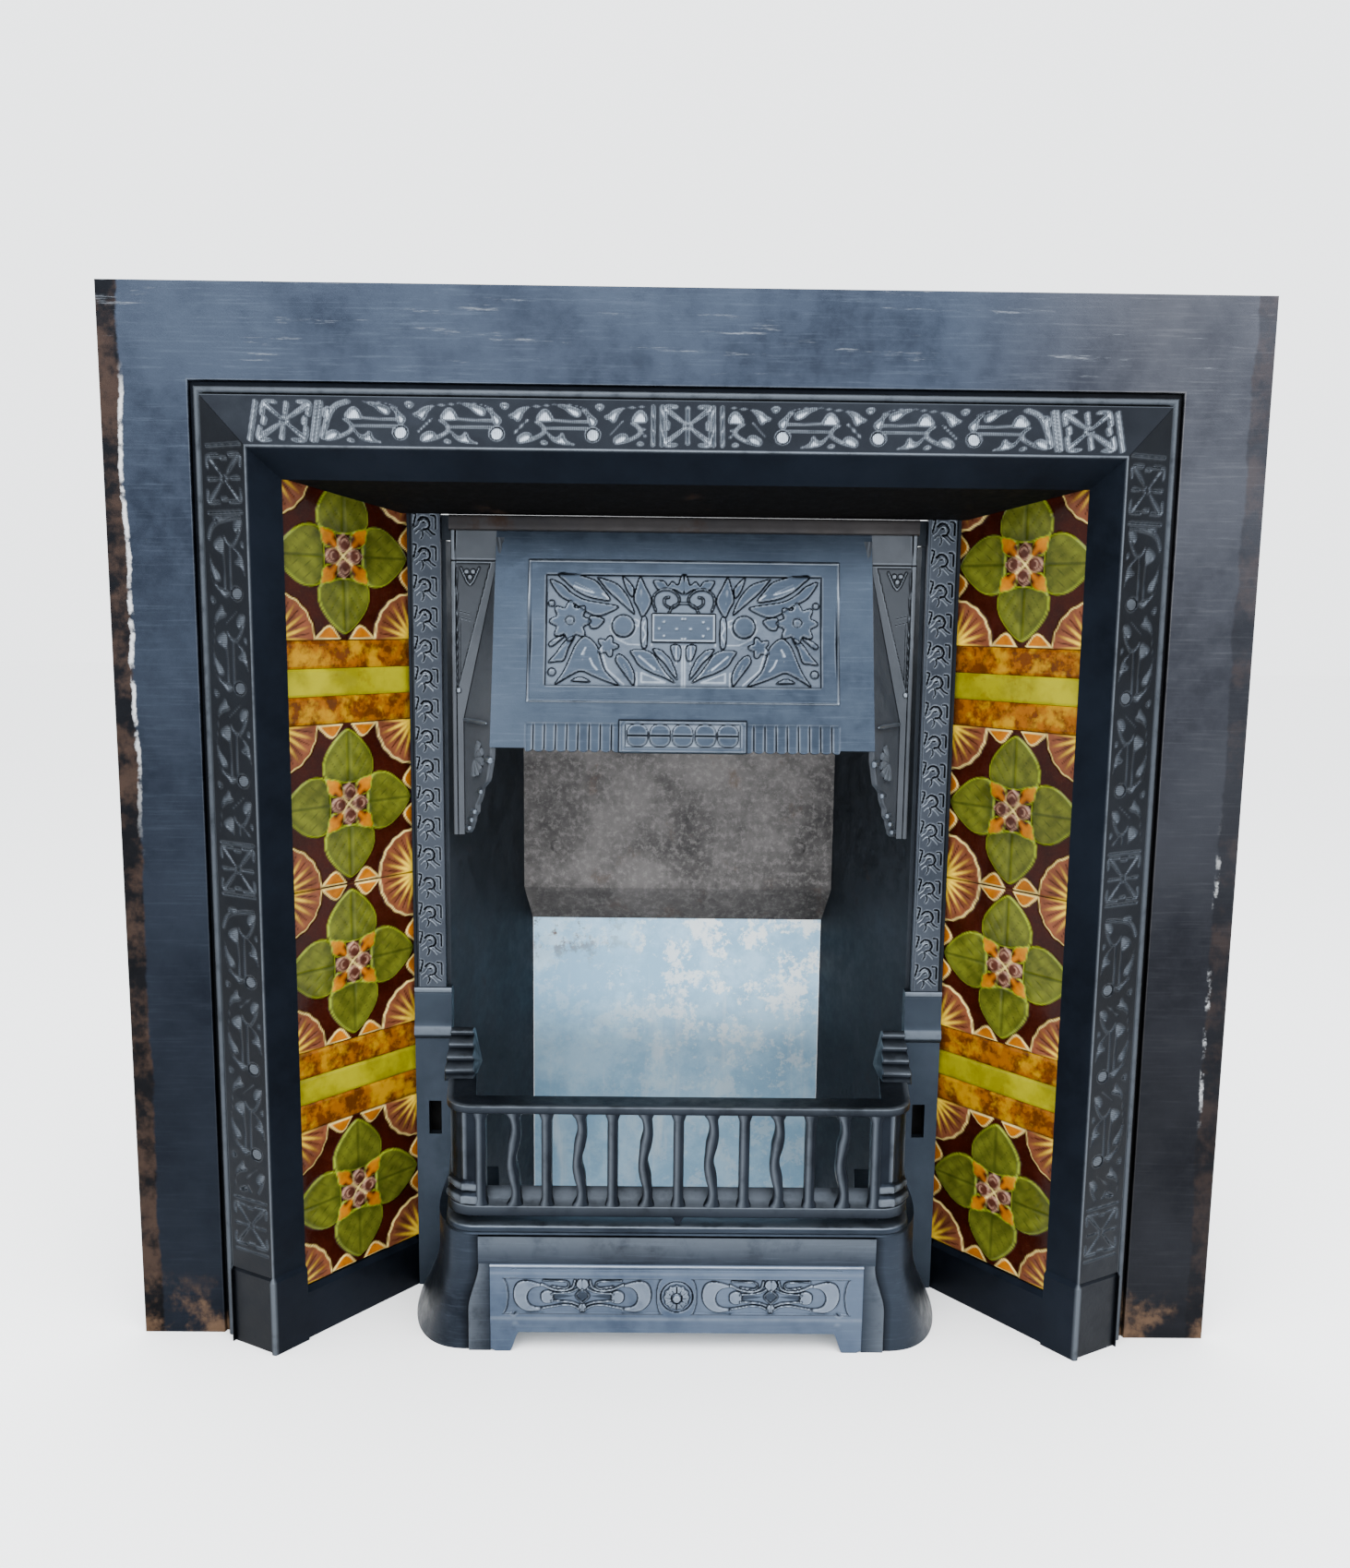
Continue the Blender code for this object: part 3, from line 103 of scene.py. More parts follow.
GRATE_TOP = 0.2428
GRATE_SETBACK = 0.002
GRATE_FOOT = 0.008
BAR_WIDTH = 0.012
BAR_DEPTH = 0.0095
BAR_COUNT = 13
HORN_HEIGHT = 0.034
BASE_WALL = 0.008
BASE_FLARE = 0.028
BASE_BELL = 0.085
PILASTER_BACKSET = 0.01
COVER_HALF = 0.174
COVER_HEIGHT = 0.088
COVER_THICKNESS = 0.008
COVER_CLEAR = 0.019
COVER_FOOT_WIDTH = 0.024

# Camera that matches the photograph
CAMERA_TURN = (7.881, 0.649, 0.488)
CAMERA_PLACE = (-0.0175, -1.1189, 0.6901)
CAMERA_FOCUS = 1354.4
IMAGE_WIDTH = 1463
SENSOR = 36.0

SIDES = ((-1, "left"), (1, "right"))

Plane = namedtuple("Plane", "origin u v n")


def plane(origin, u, v):
    """Working plane in plate coordinates whose normal is u cross v."""
    u = np.array(u, float)
    v = np.array(v, float)
    u /= np.linalg.norm(u)
    v /= np.linalg.norm(v)
    return Plane(np.array(origin, float) + (0, PLATE_Y, 0), u, v, np.cross(u, v))


def on(face, u, v, height=0.0):
    """Points in space over places on a working plane."""
    u, v, height = np.broadcast_arrays(u, v, height)
    return face.origin + u[..., None] * face.u + v[..., None] * face.v + height[..., None] * face.n


# Shaders

class Nodes:
    """Short forms for the nodes of one tree."""

    def __init__(self, tree, mat=None):
        self.tree = tree
        self.mat = mat

    def add(self, kind, sockets=None, **settings):
        """Add a node; sockets are linked where they hold another node's output, or else set."""
        item = self.tree.nodes.new(kind)
        for key, value in settings.items():
            setattr(item, key, value)
        self.feed(item, sockets or {})
        return item

    def feed(self, item, sockets):
        """Link or set some inputs of a node."""
        for key, value in sockets.items():
            if isinstance(value, bpy.types.NodeSocket):
                self.tree.links.new(value, item.inputs[key])
            else:
                item.inputs[key].default_value = value

    def calc(self, operation, a, b=0.0):
        """Result of one Math node."""
        return self.add("ShaderNodeMath", {0: a, 1: b}, operation=operation).outputs[0]

    def times(self, value, *others):
        """Product of values."""
        for other in others:
            value = self.calc("MULTIPLY", value, other)
        return value

    def plus(self, a, b):
        """Sum of two values."""
        return self.calc("ADD", a, b)

    def blend(self, share, a, b, way="MIX"):
        """Mix of two colours."""
        a, b = ((*c, 1.0) if isinstance(c, tuple) else c for c in (a, b))
        item = self.add("ShaderNodeMix", {0: share, 6: a, 7: b}, data_type="RGBA", blend_type=way)
        return item.outputs[2]

    def ramp(self, value, low, high, to_low=0.0, to_high=1.0):
        """Smooth step of a value from one range to another."""
        sockets = {"Value": value, "From Min": low, "From Max": high, "To Min": to_low, "To Max": to_high}
        return self.add("ShaderNodeMapRange", sockets, interpolation_type="SMOOTHSTEP").outputs["Result"]

    def coordinates(self, kind="Object"):
        """Places on the object, or another kind of coordinates."""
        return self.add("ShaderNodeTexCoord").outputs[kind]

    def axes(self, place):
        """The three coordinates of a place."""
        return self.add("ShaderNodeSeparateXYZ", {"Vector": place}).outputs

    def noise(self, place, scale, detail=4.0, rough=0.55, stretch=None):
        """Noise value over the object's own coordinates."""
        if stretch:
            place = self.add("ShaderNodeMapping", {"Vector": place, "Scale": stretch}).outputs[0]
        sockets = {"Vector": place, "Scale": scale, "Detail": detail, "Roughness": rough}
        return self.add("ShaderNodeTexNoise", sockets).outputs["Fac"]

    def attribute(self, name, kind="Fac"):
        """Value of a mesh attribute, nought where the mesh lacks it."""
        return self.add("ShaderNodeAttribute", attribute_name=name).outputs[kind]

    def finish(self, tone, gloss, bump, strength, distance, **others):
        """Feed the Principled shader its colour, roughness, bumps and other values."""
        item = self.add("ShaderNodeBump", {"Height": bump, "Strength": strength, "Distance": distance})
        sockets = {"Base Color": tone, "Roughness": gloss, "Normal": item.outputs[0]}
        sockets.update({key.replace("_", " "): value for key, value in others.items()})
        self.feed(self.tree.nodes["Principled BSDF"], sockets)
        return self.mat


def shader(name):
    """Nodes of a new material and its object coordinates."""
    mat = bpy.data.materials.new(name)
    mat.use_nodes = True
    nodes = Nodes(mat.node_tree, mat)
    return nodes, nodes.coordinates()


HATCH_PITCH = 0.0016
# SILVER is rubbed iron and painted highlight; the near black below it is painted shade.
SILVER = (0.23, 0.265, 0.31)
PAINTED_SHADE_BLACK = (0.001, 0.0013, 0.002)


def iron(name, dark, light, rough=0.42, metallic=0.9, rust=0.0, brushed=0.0, border=False):
    """Black-leaded cast iron: mottled, silvery where rubbed and under painted highlights, near black as
    painted shade in the hollows and at the feet of slopes, rusty where bare.
    """
    n, place = shader(name)
    broad = n.noise(place, 7.0, 5.0, 0.6)
    fine = n.noise(place, 55.0, 6.0, 0.65)
    tone = n.blend(n.ramp(broad, 0.32, 0.68), dark, light)
    tone = n.blend(n.ramp(fine, 0.35, 0.75, 0.0, 0.55), tone, light)
    if brushed:
        streaks = n.noise(place, 30.0, 6.0, 0.7, (0.6, 6.0, 14.0))
        tone = n.blend(n.ramp(streaks, 0.5, 0.74, 0.0, brushed), tone, (0.15, 0.19, 0.25))
    # Painted highlights and rubbed iron: silver mixed in, hatched, where the mesh's highlight share says so.
    hatch = n.calc("SINE", n.times(n.attribute("along"), 2 * math.pi / HATCH_PITCH))
    hatch = n.ramp(hatch, -0.6, 0.8, 0.45, 1.0)
    rubbed_and_highlight = n.times(n.attribute("bright"), hatch, n.ramp(fine, 0.25, 0.55, 0.45, 1.0))
    tone = n.blend(rubbed_and_highlight, tone, SILVER)
    # Painted shade: near black mixed in where the mesh marks hollows and the feet of slopes.
    tone = n.blend(n.times(n.attribute("painted_shade"), 0.9), tone, PAINTED_SHADE_BLACK)
    gloss = n.ramp(fine, 0.3, 0.7, rough - 0.08, rough + 0.12)
    if border:
        tone, gloss = border_wear_and_top_light(n, place, tone, gloss, fine)
    if rust:
        patch = n.ramp(n.noise(place, 16.0, 8.0, 0.7), 0.62 - rust * 0.25, 0.78 - rust * 0.25)
        tone = n.blend(n.times(patch, 0.7), tone, (0.03, 0.017, 0.011))
        gloss = n.plus(gloss, n.times(patch, 0.25))
    sand = n.noise(place, 700.0, 3.0, 0.6)
    lumps = n.noise(place, 120.0, 4.0, 0.6)
    bump = n.plus(n.times(sand, 0.4), lumps)
    return n.finish(tone, gloss, bump, 0.22, 0.0006, Metallic=metallic, Specular_IOR_Level=0.12)


def border_wear_and_top_light(n, place, tone, gloss, fine):
    """Old edge that a surround covered: rust, bare black and a ragged line of plaster; also painted light,
    the plate lighter at the top and darker towards the bottom.
    """
    axes = n.axes(place)
    across, height = axes["X"], axes["Z"]
    edge = n.noise(place, 14.0, 6.0, 0.7)
    # Painted light: the plate lighter at the top and darker towards the bottom, as light falls from above.
    tone = n.blend(1.0, tone, n.ramp(height, 0.2, 0.95, 0.28, 1.12), "MULTIPLY")
    tone = n.blend(n.ramp(across, 0.2, 0.42), tone, (1.4, 1.15, 0.95), "MULTIPLY")
    inside = n.calc("SUBTRACT", PLATE_HALF, n.calc("ABSOLUTE", across))
    inside = n.plus(inside, n.times(n.calc("SUBTRACT", edge, 0.5), 0.016))
    strip = n.times(n.ramp(inside, 0.019, 0.016), n.ramp(across, 0.3, -0.3, 0.4, 1.0))
    low = n.ramp(n.plus(height, n.times(edge, 0.1)), 0.12, 0.06)
    brown = n.noise(place, 22.0, 6.0, 0.7)
    old = n.blend(n.ramp(brown, 0.42, 0.62), (0.004, 0.004, 0.0045), (0.035, 0.022, 0.016))
    tone = n.blend(n.times(strip, 0.9), tone, old)
    tone = n.blend(n.times(low, n.ramp(brown, 0.45, 0.65, 0.0, 0.7)), tone, (0.12, 0.072, 0.042))
    line = n.times(n.ramp(inside, 0.015, 0.017), n.ramp(inside, 0.0205, 0.0185))
    left = n.times(n.ramp(across, -0.4, -0.45), n.ramp(height, 0.45, 0.62), n.ramp(height, 0.9, 0.86))
    right = n.times(n.ramp(across, 0.4, 0.45), n.ramp(height, 0.2, 0.26))
    right = n.times(right, n.ramp(height, 0.52, 0.42, 0.0, 0.8))
    where = n.plus(left, n.times(right, n.ramp(edge, 0.46, 0.54)))
    tone = n.blend(n.times(line, where, n.ramp(fine, 0.4, 0.55)), tone, (0.4, 0.41, 0.42))
    scuff = n.noise(place, 26.0, 7.0, 0.75, (0.35, 4.0, 5.0))
    marks = n.times(n.ramp(scuff, 0.6, 0.72), n.ramp(height, 0.885, 0.9), 0.55)
    tone = n.blend(marks, tone, (0.2, 0.22, 0.25))
    return tone, n.plus(gloss, n.times(n.plus(strip, low), 0.22))


def glaze(name, rough=0.12, mottle=None, spots=0.0):
    """Glossy pottery glaze, coloured by the mesh or mottled between colours."""
    n, place = shader(name)
    pool = n.noise(place, 85.0 if spots > 0.5 else 42.0, 5.0, 0.65)
    cloud = n.noise(place, 40.0 if spots > 0.5 else 17.0, 4.0, 0.6)
    if mottle:
        low, middle, high = mottle
        tone = n.blend(n.ramp(pool, 0.38, 0.62), low, middle)
        tone = n.blend(n.ramp(cloud, 0.46, 0.66), tone, high)
        brown = n.times(n.ramp(n.noise(place, 75.0, 3.0, 0.5), 0.56, 0.62), n.ramp(cloud, 0.56, 0.44))
        tone = n.blend(n.times(brown, spots), tone, (0.055, 0.013, 0.0004))
    else:
        shade = n.ramp(pool, 0.3, 0.7, 0.62, 1.22)
        tone = n.attribute("glaze", "Color")
        tone = n.add("ShaderNodeVectorMath", {0: tone, 3: shade}, operation="SCALE").outputs[0]
    crack = n.add("ShaderNodeTexVoronoi", {"Vector": place, "Scale": 260.0}, feature="DISTANCE_TO_EDGE")
    line = n.ramp(crack.outputs["Distance"], 0.03, 0.0, 0.0, 0.12)
    tone = n.blend(line, tone, (0.08, 0.04, 0.02))
    gloss = n.ramp(pool, 0.3, 0.8, rough * 0.7, rough * 1.8)
    settings = {"Coat_Weight": 0.03, "Coat_Roughness": 0.06, "Specular_IOR_Level": 0.05}
    return n.finish(tone, gloss, n.noise(place, 90.0, 3.0), 0.12, 0.0008, **settings)


def burnt_block(name):
    """Rough grey fireback, with painted shade over its lower part."""
    n, place = shader(name)
    broad = n.noise(place, 9.0, 8.0, 0.7)
    fine = n.noise(place, 130.0, 8.0, 0.75)
    rusty = n.ramp(n.noise(place, 24.0, 6.0, 0.7), 0.6, 0.74, 0.0, 0.6)
    tone = n.blend(n.ramp(broad, 0.35, 0.65), (0.018, 0.017, 0.017), (0.095, 0.089, 0.087))
    tone = n.blend(n.ramp(fine, 0.46, 0.66, 0.0, 0.5), tone, (0.19, 0.18, 0.175))
    tone = n.blend(rusty, tone, (0.06, 0.034, 0.022))
    # Painted shade: darker below about 0.38 m, where the face turns away from the light.
    tone = n.blend(1.0, tone, n.ramp(n.axes(place)["Z"], 0.372, 0.388, 0.62, 1.0), "MULTIPLY")
    return n.finish(tone, 0.92, fine, 0.7, 0.0015)


def zinc_sheet(name):
    """Galvanised sheet with scratched and chalky patches, a little rust and painted shade over its lower
    part.
    """
    n, place = shader(name)
    axes = n.axes(place)
    across, height = axes["X"], axes["Z"]
    patch = n.noise(place, 13.0, 8.0, 0.72)
    streak = n.noise(place, 40.0, 5.0, 0.65, (1.0, 1.0, 0.12))
    tone = n.blend(n.ramp(patch, 0.4, 0.62), (0.25, 0.47, 0.66), (0.42, 0.66, 0.84))
    chalky = n.times(n.ramp(across, -0.14, 0.06, 0.25, 1.0), n.ramp(height, 0.1, 0.3, 0.3, 1.0), 0.85)
    flakes = n.ramp(n.noise(place, 34.0, 9.0, 0.78), 0.5, 0.56)
    tone = n.blend(n.times(flakes, chalky), tone, (0.88, 0.93, 0.93))
    tone = n.blend(n.ramp(streak, 0.56, 0.74, 0.0, 0.4), tone, (0.86, 0.9, 0.92))
    # Painted shade: darker below about 0.27 m, in the shade of the grate.
    tone = n.blend(1.0, tone, n.ramp(height, 0.18, 0.27, 0.42, 1.0), "MULTIPLY")
    corner = n.times(n.ramp(across, -0.02, -0.14), n.ramp(height, 0.27, 0.33))
    spots = n.ramp(n.noise(place, 38.0, 8.0, 0.75), 0.5, 0.6)
    tone = n.blend(n.times(corner, spots), tone, (0.11, 0.05, 0.026))
    return n.finish(tone, n.ramp(patch, 0.3, 0.7, 0.5, 0.75), patch, 0.3, 0.001, Metallic=0.25)


AMBER = ((0.042, 0.011, 0.0003), (0.135, 0.042, 0.0002), (0.215, 0.108, 0.0002))
OLIVE = ((0.105, 0.094, 0.0003), (0.14, 0.128, 0.0003), (0.185, 0.17, 0.0006))
LOOKS = {
    "plate": iron("plate_iron", (0.012, 0.016, 0.025), (0.026, 0.034, 0.05), brushed=0.08, border=True),
    "band": iron("band_iron", (0.0022, 0.0028, 0.004), (0.006, 0.0074, 0.01)),
    "cheek": iron("cheek_iron", (0.0025, 0.0036, 0.0058), (0.0055, 0.0078, 0.0125), 0.5),
    # The soffit's iron is far darker than the rest as painted shadow under the top.
    "soffit": iron("soffit_iron", (0.0004, 0.0004, 0.0005), (0.001, 0.0009, 0.001), 0.75, 0.5, 0.12),
    "jamb": iron("jamb_iron", (0.014, 0.017, 0.023), (0.034, 0.04, 0.05)),
    "jamb_foot": iron("jamb_foot_iron", (0.011, 0.015, 0.021), (0.022, 0.029, 0.039)),
    # Near-black iron for the plate behind each jamb slot, painted shade seen through the slot.
    "black": iron("black_iron", (0.0006, 0.0006, 0.0007), (0.0016, 0.0016, 0.0017), 0.8, 0.0),
    "hood": iron("hood_iron", (0.017, 0.024, 0.036), (0.032, 0.043, 0.06), 0.38, brushed=0.1),
    "wing": iron("wing_iron", (0.028, 0.032, 0.037), (0.05, 0.055, 0.063), 0.45),
    "side": iron("side_iron", (0.021, 0.025, 0.031), (0.04, 0.045, 0.053), 0.5, 0.35),
    "rail": iron("rail_iron", (0.014, 0.014, 0.016), (0.03, 0.028, 0.028), 0.55, rust=0.25),
    "grate": iron("grate_iron", (0.0026, 0.0035, 0.0052), (0.0085, 0.0112, 0.016)),
    "base": iron("base_iron", (0.0048, 0.0066, 0.01), (0.017, 0.0225, 0.0315), 0.4, brushed=0.08),
    "cover": iron("cover_iron", (0.028, 0.04, 0.063), (0.062, 0.083, 0.12), 0.38, brushed=0.12),
    "box": iron("box_iron", (0.014, 0.0172, 0.0212), (0.026, 0.0308, 0.038), 0.62, rust=0.05),
    "back": burnt_block("burnt_block"),
    "sheet": zinc_sheet("zinc_sheet"),
    "flower": glaze("flower_glaze"),
    "amber": glaze("amber_glaze", 0.14, AMBER, 0.9),
    "olive": glaze("olive_glaze", 0.14, OLIVE, 0.25),
}


# Relief over a grid

def eased(value):
    """Smooth step of a value clipped to 0..1."""
    t = np.clip(value, 0.0, 1.0)
    return t * t * (3 - 2 * t)


def curve(points, steps=6, closed=False):
    """Smooth line through points."""
    pts = np.array(points, float)
    if closed:
        pts = np.vstack([pts[-1], pts, pts[:2]])
    else:
        pts = np.vstack([2 * pts[0] - pts[1], pts, 2 * pts[-1] - pts[-2]])
    t = np.linspace(0, 1, steps, endpoint=False)[:, None]
    out = []
    for a, b, c, d in zip(pts, pts[1:], pts[2:], pts[3:]):
        bend = (2 * a - 5 * b + 4 * c - d) * t ** 2
        out.append(0.5 * (2 * b + (c - a) * t + bend + (3 * b - a - 3 * c + d) * t ** 3))
    line = np.vstack(out)
    return line if closed else np.vstack([line, pts[-2]])


def turned(x, y, angle):
    """Places seen along and across a direction."""
    return x * math.cos(angle) + y * math.sin(angle), -x * math.sin(angle) + y * math.cos(angle)


def to_block(x, y, wide, high):
    """Distance to a rectangle of two half sizes round the origin, negative inside it."""
    return np.maximum(np.abs(x) - wide, np.abs(y) - high)


def to_line(points, x, y):
    """Distance from grid places to a line of points."""
    pts = np.array(points, float)
    away = np.full(x.shape, 1e9)
    for a, b in zip(pts, pts[1:]):
        run = b - a
        t = np.clip(((x - a[0]) * run[0] + (y - a[1]) * run[1]) / max(run @ run, 1e-15), 0, 1)
        away = np.minimum(away, np.hypot(x - a[0] - run[0] * t, y - a[1] - run[1] * t))
    return away


def to_shape(points, x, y):
    """Distance from grid places to a closed outline, negative inside it."""
    pts = np.array(points, float)
    away = to_line(np.vstack([pts, pts[:1]]), x, y)
    inside = np.zeros(x.shape, bool)
    for a, b in zip(pts, np.roll(pts, -1, axis=0)):
        if a[1] == b[1]:
            continue
        inside ^= ((a[1] > y) != (b[1] > y)) & (x < (b[0] - a[0]) * (y - a[1]) / (b[1] - a[1]) + a[0])
    return np.where(inside, -away, away)


class Relief:
    """Heights over a grid of places on a plane, with rubbing and painted highlights, and painted shade."""

    def __init__(self, x, y, base=0.0):
        self.x = x
        self.y = y
        self.height = np.full(x.shape, float(base))
        self.bright = np.zeros(x.shape)
        self.painted_shade = np.zeros(x.shape)

    def cut(self, away, depth, bevel=0.001, bright=0.0, painted_shade=0.0, where=None):
        """Sink the places inside a shape, with a share of painted highlight and of painted shade."""
        share = eased(-away / bevel)
        if where is not None:
            share = share * where
        self.height = np.minimum(self.height, self.height * (1 - share) - depth * share)
        self.bright = np.maximum(self.bright, bright * share)
        self.painted_shade = np.maximum(self.painted_shade * (1 - 0.7 * bright * share), painted_shade * share)

    def lift(self, away, height, bevel=0.001, bright=0.0, edge=0.0, swell=0.0):
        """Raise the places inside a shape, with a painted shadow line round its foot."""
        share = eased(-away / bevel)
        crown = swell * eased(-away / (bevel * 4))
        self.height = np.maximum(self.height, self.height + (height + crown) * share)
        self.bright = self.bright * (1 - share) + bright * share
        rim = eased(1 - np.abs(away) / 0.001)
        self.painted_shade = np.maximum(self.painted_shade * (1 - share), edge * rim)

    def shine(self, share):
        """Paint places lighter, as rubbed iron and painted highlight, where they are duller."""
        self.bright = np.maximum(self.bright, share)

    def shade(self, share):
        """Paint shade on places where they are lighter."""
        self.painted_shade = np.maximum(self.painted_shade, share)

    def edge_wear_and_shade(self, spacing, amount=1.0):
        """Lighten the raised edges, as rubbing and painted highlight, and paint shade at the foot of each
        slope.
        """
        blurred = self.height
        for _ in range(3):
            wide = np.pad(blurred, 1, mode="edge")
            sides = wide[:-2, 1:-1] + wide[2:, 1:-1] + wide[1:-1, :-2] + wide[1:-1, 2:]
            blurred = (blurred * 2 + sides) / 6
        edge = (self.height - blurred) / (0.15 * spacing)
        self.bright = np.clip(self.bright + amount * eased(edge - 0.2), 0, 1)
        self.painted_shade = np.clip(self.painted_shade + 0.7 * amount * eased(-edge - 0.3), 0, 1)


def finish_piece(name, data, look, node, angle=38):
    """Object with its look that rides on the insert and stands for its node."""
    data.shade_smooth()
    data.set_sharp_from_angle(angle=math.radians(angle))
    data.materials.append(LOOKS[look])
    item = bpy.data.objects.new(name, data)
    bpy.context.scene.collection.objects.link(item)
    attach(item, "root")
    if node:
        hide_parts(node)
    return item


def mesh_piece(name, points, faces, look, node, attributes=None, colours=None, angle=38):
    """Object from points and faces, closed and facing outwards."""
    data = bpy.data.meshes.new(name)
    data.from_pydata([tuple(p) for p in points], [], faces)
    work = bmesh.new()
    work.from_mesh(data)
    bmesh.ops.recalc_face_normals(work, faces=work.faces)
    work.to_mesh(data)
    work.free()
    for key, values in (attributes or {}).items():
        layer = data.attributes.new(key, "FLOAT", "POINT")
        layer.data.foreach_set("value", np.asarray(values, np.float32))
    if colours is not None:
        layer = data.attributes.new("glaze", "FLOAT_COLOR", "POINT")
        layer.data.foreach_set("color", np.asarray(colours, np.float32).ravel())
    return finish_piece(name, data, look, node, angle)


def panel(name, face, relief, depth, look, node, along=None, colours=None):
    """Closed slab whose front is a relief on a working plane."""
    rows, cols = relief.x.shape
    front = on(face, relief.x, relief.y, relief.height).reshape(-1, 3)
    index = np.arange(rows * cols).reshape(rows, cols)
    quads = np.stack([index[:-1, :-1], index[:-1, 1:], index[1:, 1:], index[1:, :-1]], -1).reshape(-1, 4)
    rim = np.concatenate([index[0, :-1], index[:-1, -1], index[-1, :0:-1], index[:0:-1, 0]])
    x = relief.x.ravel()[rim]
    y = relief.y.ravel()[rim]
    back = on(face, x, y, -depth)
    first = rows * cols
    faces = quads.tolist()
    count = len(rim)
    for k in range(count):
        j = (k + 1) % count
        faces.append((int(rim[k]), int(rim[j]), first + j, first + k))
    faces.append([first + k for k in range(count)])
    points = np.vstack([front, back])
    extra = {"bright": relief.bright, "painted_shade": relief.painted_shade}
    if along is not None:
        extra["along"] = along
    values = {}
    for key, layer in extra.items():
        flat = layer.ravel()
        values[key] = np.concatenate([flat, np.zeros(count) if key == "bright" else flat[rim]])
    tints = None
    if colours is not None:
        flat = colours.reshape(-1, 4)
        tints = np.vstack([flat, flat[rim]])
    return mesh_piece(name, points, faces, look, node, values, tints)


def grid(x0, x1, y0, y1, step):
    """Places about a step apart over a rectangle."""
    cols = max(2, int(round((x1 - x0) / step)) + 1)
    rows = max(2, int(round((y1 - y0) / step)) + 1)
    return np.meshgrid(np.linspace(x0, x1, cols), np.linspace(y0, y1, rows))


def loft(name, sections, look, node, attributes=None, angle=38):
    """Solid through matching closed sections."""
    sections = np.array(sections, float)
    spans, count = sections.shape[:2]
    points = sections.reshape(-1, 3) + (0, PLATE_Y, 0)
    faces = []
    for near in range(0, (spans - 1) * count, count):
        far = near + count
        for i in range(count):
            j = (i + 1) % count
            faces.append((near + i, near + j, far + j, far + i))
    faces.append(list(range(count)))
    faces.append([(spans - 1) * count + i for i in range(count)])
    return mesh_piece(name, points, faces, look, node, attributes=attributes, angle=angle)


# Front plate

def plate_rings():
    """Section of the plate: half-width, top, Y, the plinth's added half-width and Y, share of rubbing and
    painted highlight, and share of painted shade.
    """
    run = BAND_WIDTH - FOOT_IN
    rise = BAND_PROUD - FOOT_PROUD
    slope = math.hypot(run, rise)
    foot = (rise / slope * PLINTH_PROUD, -run / slope * PLINTH_PROUD)

    def ring(inward, y, plinth=(0, 0), bright=0.0, painted_shade=0.0):
        return (MOULDING_HALF - inward, MOULDING_TOP - inward, y, *plinth, bright, painted_shade)

    def behind_lip(u):
        half = ARRIS_HALF - u * COS + LIP_THICKNESS * SIN
        top = ARRIS_TOP - RETURN_DROP * u / LIP_WIDTH + LIP_THICKNESS * SIN
        return (half, top, -BAND_PROUD + u * SIN + LIP_THICKNESS * COS, 0, 0, 0, 0)

    def lip(u, bright=0.0):
        drop = RETURN_DROP * u / LIP_WIDTH
        back = (-SIN * PLINTH_PROUD, -COS * PLINTH_PROUD)
        return (ARRIS_HALF - u * COS, ARRIS_TOP - drop, -BAND_PROUD + u * SIN, *back, bright, 0.0)

    def slope_point(share, sink=0.0, bright=0.0, painted_shade=0.0):
        inward = FOOT_IN + run * share + rise / slope * sink
        y = -FOOT_PROUD - rise * share + run / slope * sink
        return ring(inward, y, foot, bright, painted_shade)

    rings = [
        (PLATE_HALF, PLATE_HEIGHT, PLATE_THICKNESS, 0, 0, 0, 0),
        (PLATE_HALF, PLATE_HEIGHT, 0.0004, 0, 0, 0, 0),
        (PLATE_HALF - 0.0004, PLATE_HEIGHT - 0.0004, 0, 0, 0, 0, 0),
        ring(-0.0012, 0),
        # Painted highlight on the plate's edge, then painted shadow in the quirk below it.
        ring(-0.0003, 0, bright=0.22),
        ring(0.0003, 0.0006, painted_shade=0.3),
        ring(0.001, 0.004, painted_shade=1.0),
        ring(0.0044, 0.004, painted_shade=1.0),
    ]
    middle, radius = 0.0088, 0.004
    for k in range(9):
        angle = math.radians(175 - 165 * k / 8)
        # Painted highlight along the bead's crown.
        rub_and_highlight = 0.26 * max(0.0, math.sin(angle)) ** 3
        rings.append(ring(middle - radius * math.cos(angle), -0.0005 - radius * math.sin(angle), bright=rub_and_highlight))
    rings += [
        # Painted shade at the foot of the bead, then painted highlights at the band's foot, its top and along
        # the arris.
        ring(0.013, -0.0004, painted_shade=0.5),
        ring(0.0134, -0.01, foot),
        slope_point(0.0, 0.0, 0.15),
        slope_point(0.02, 0.0, 0.0),
        slope_point(0.02, 0.003),
        slope_point(0.965, 0.003),
        slope_point(0.965, 0.0, 0.1),
        ring(BAND_WIDTH - 0.0008, -BAND_PROUD + 0.00018, (0, -PLINTH_PROUD), 0.35),
        ring(BAND_WIDTH, -BAND_PROUD, (-PLINTH_PROUD / 2, -PLINTH_PROUD), 0.35),
        lip(0.001, 0.1),
        lip(0.002),
        lip(LIP_WIDTH),
        behind_lip(LIP_WIDTH),
        behind_lip(0.018),
        ring(BAND_WIDTH - LIP_THICKNESS * SIN, -BAND_PROUD + PLATE_THICKNESS),
        ring(FOOT_IN + PLATE_THICKNESS * 0.9, -FOOT_PROUD + PLATE_THICKNESS * 0.6),
        ring(FOOT_IN, PLATE_THICKNESS),
    ]
    return rings


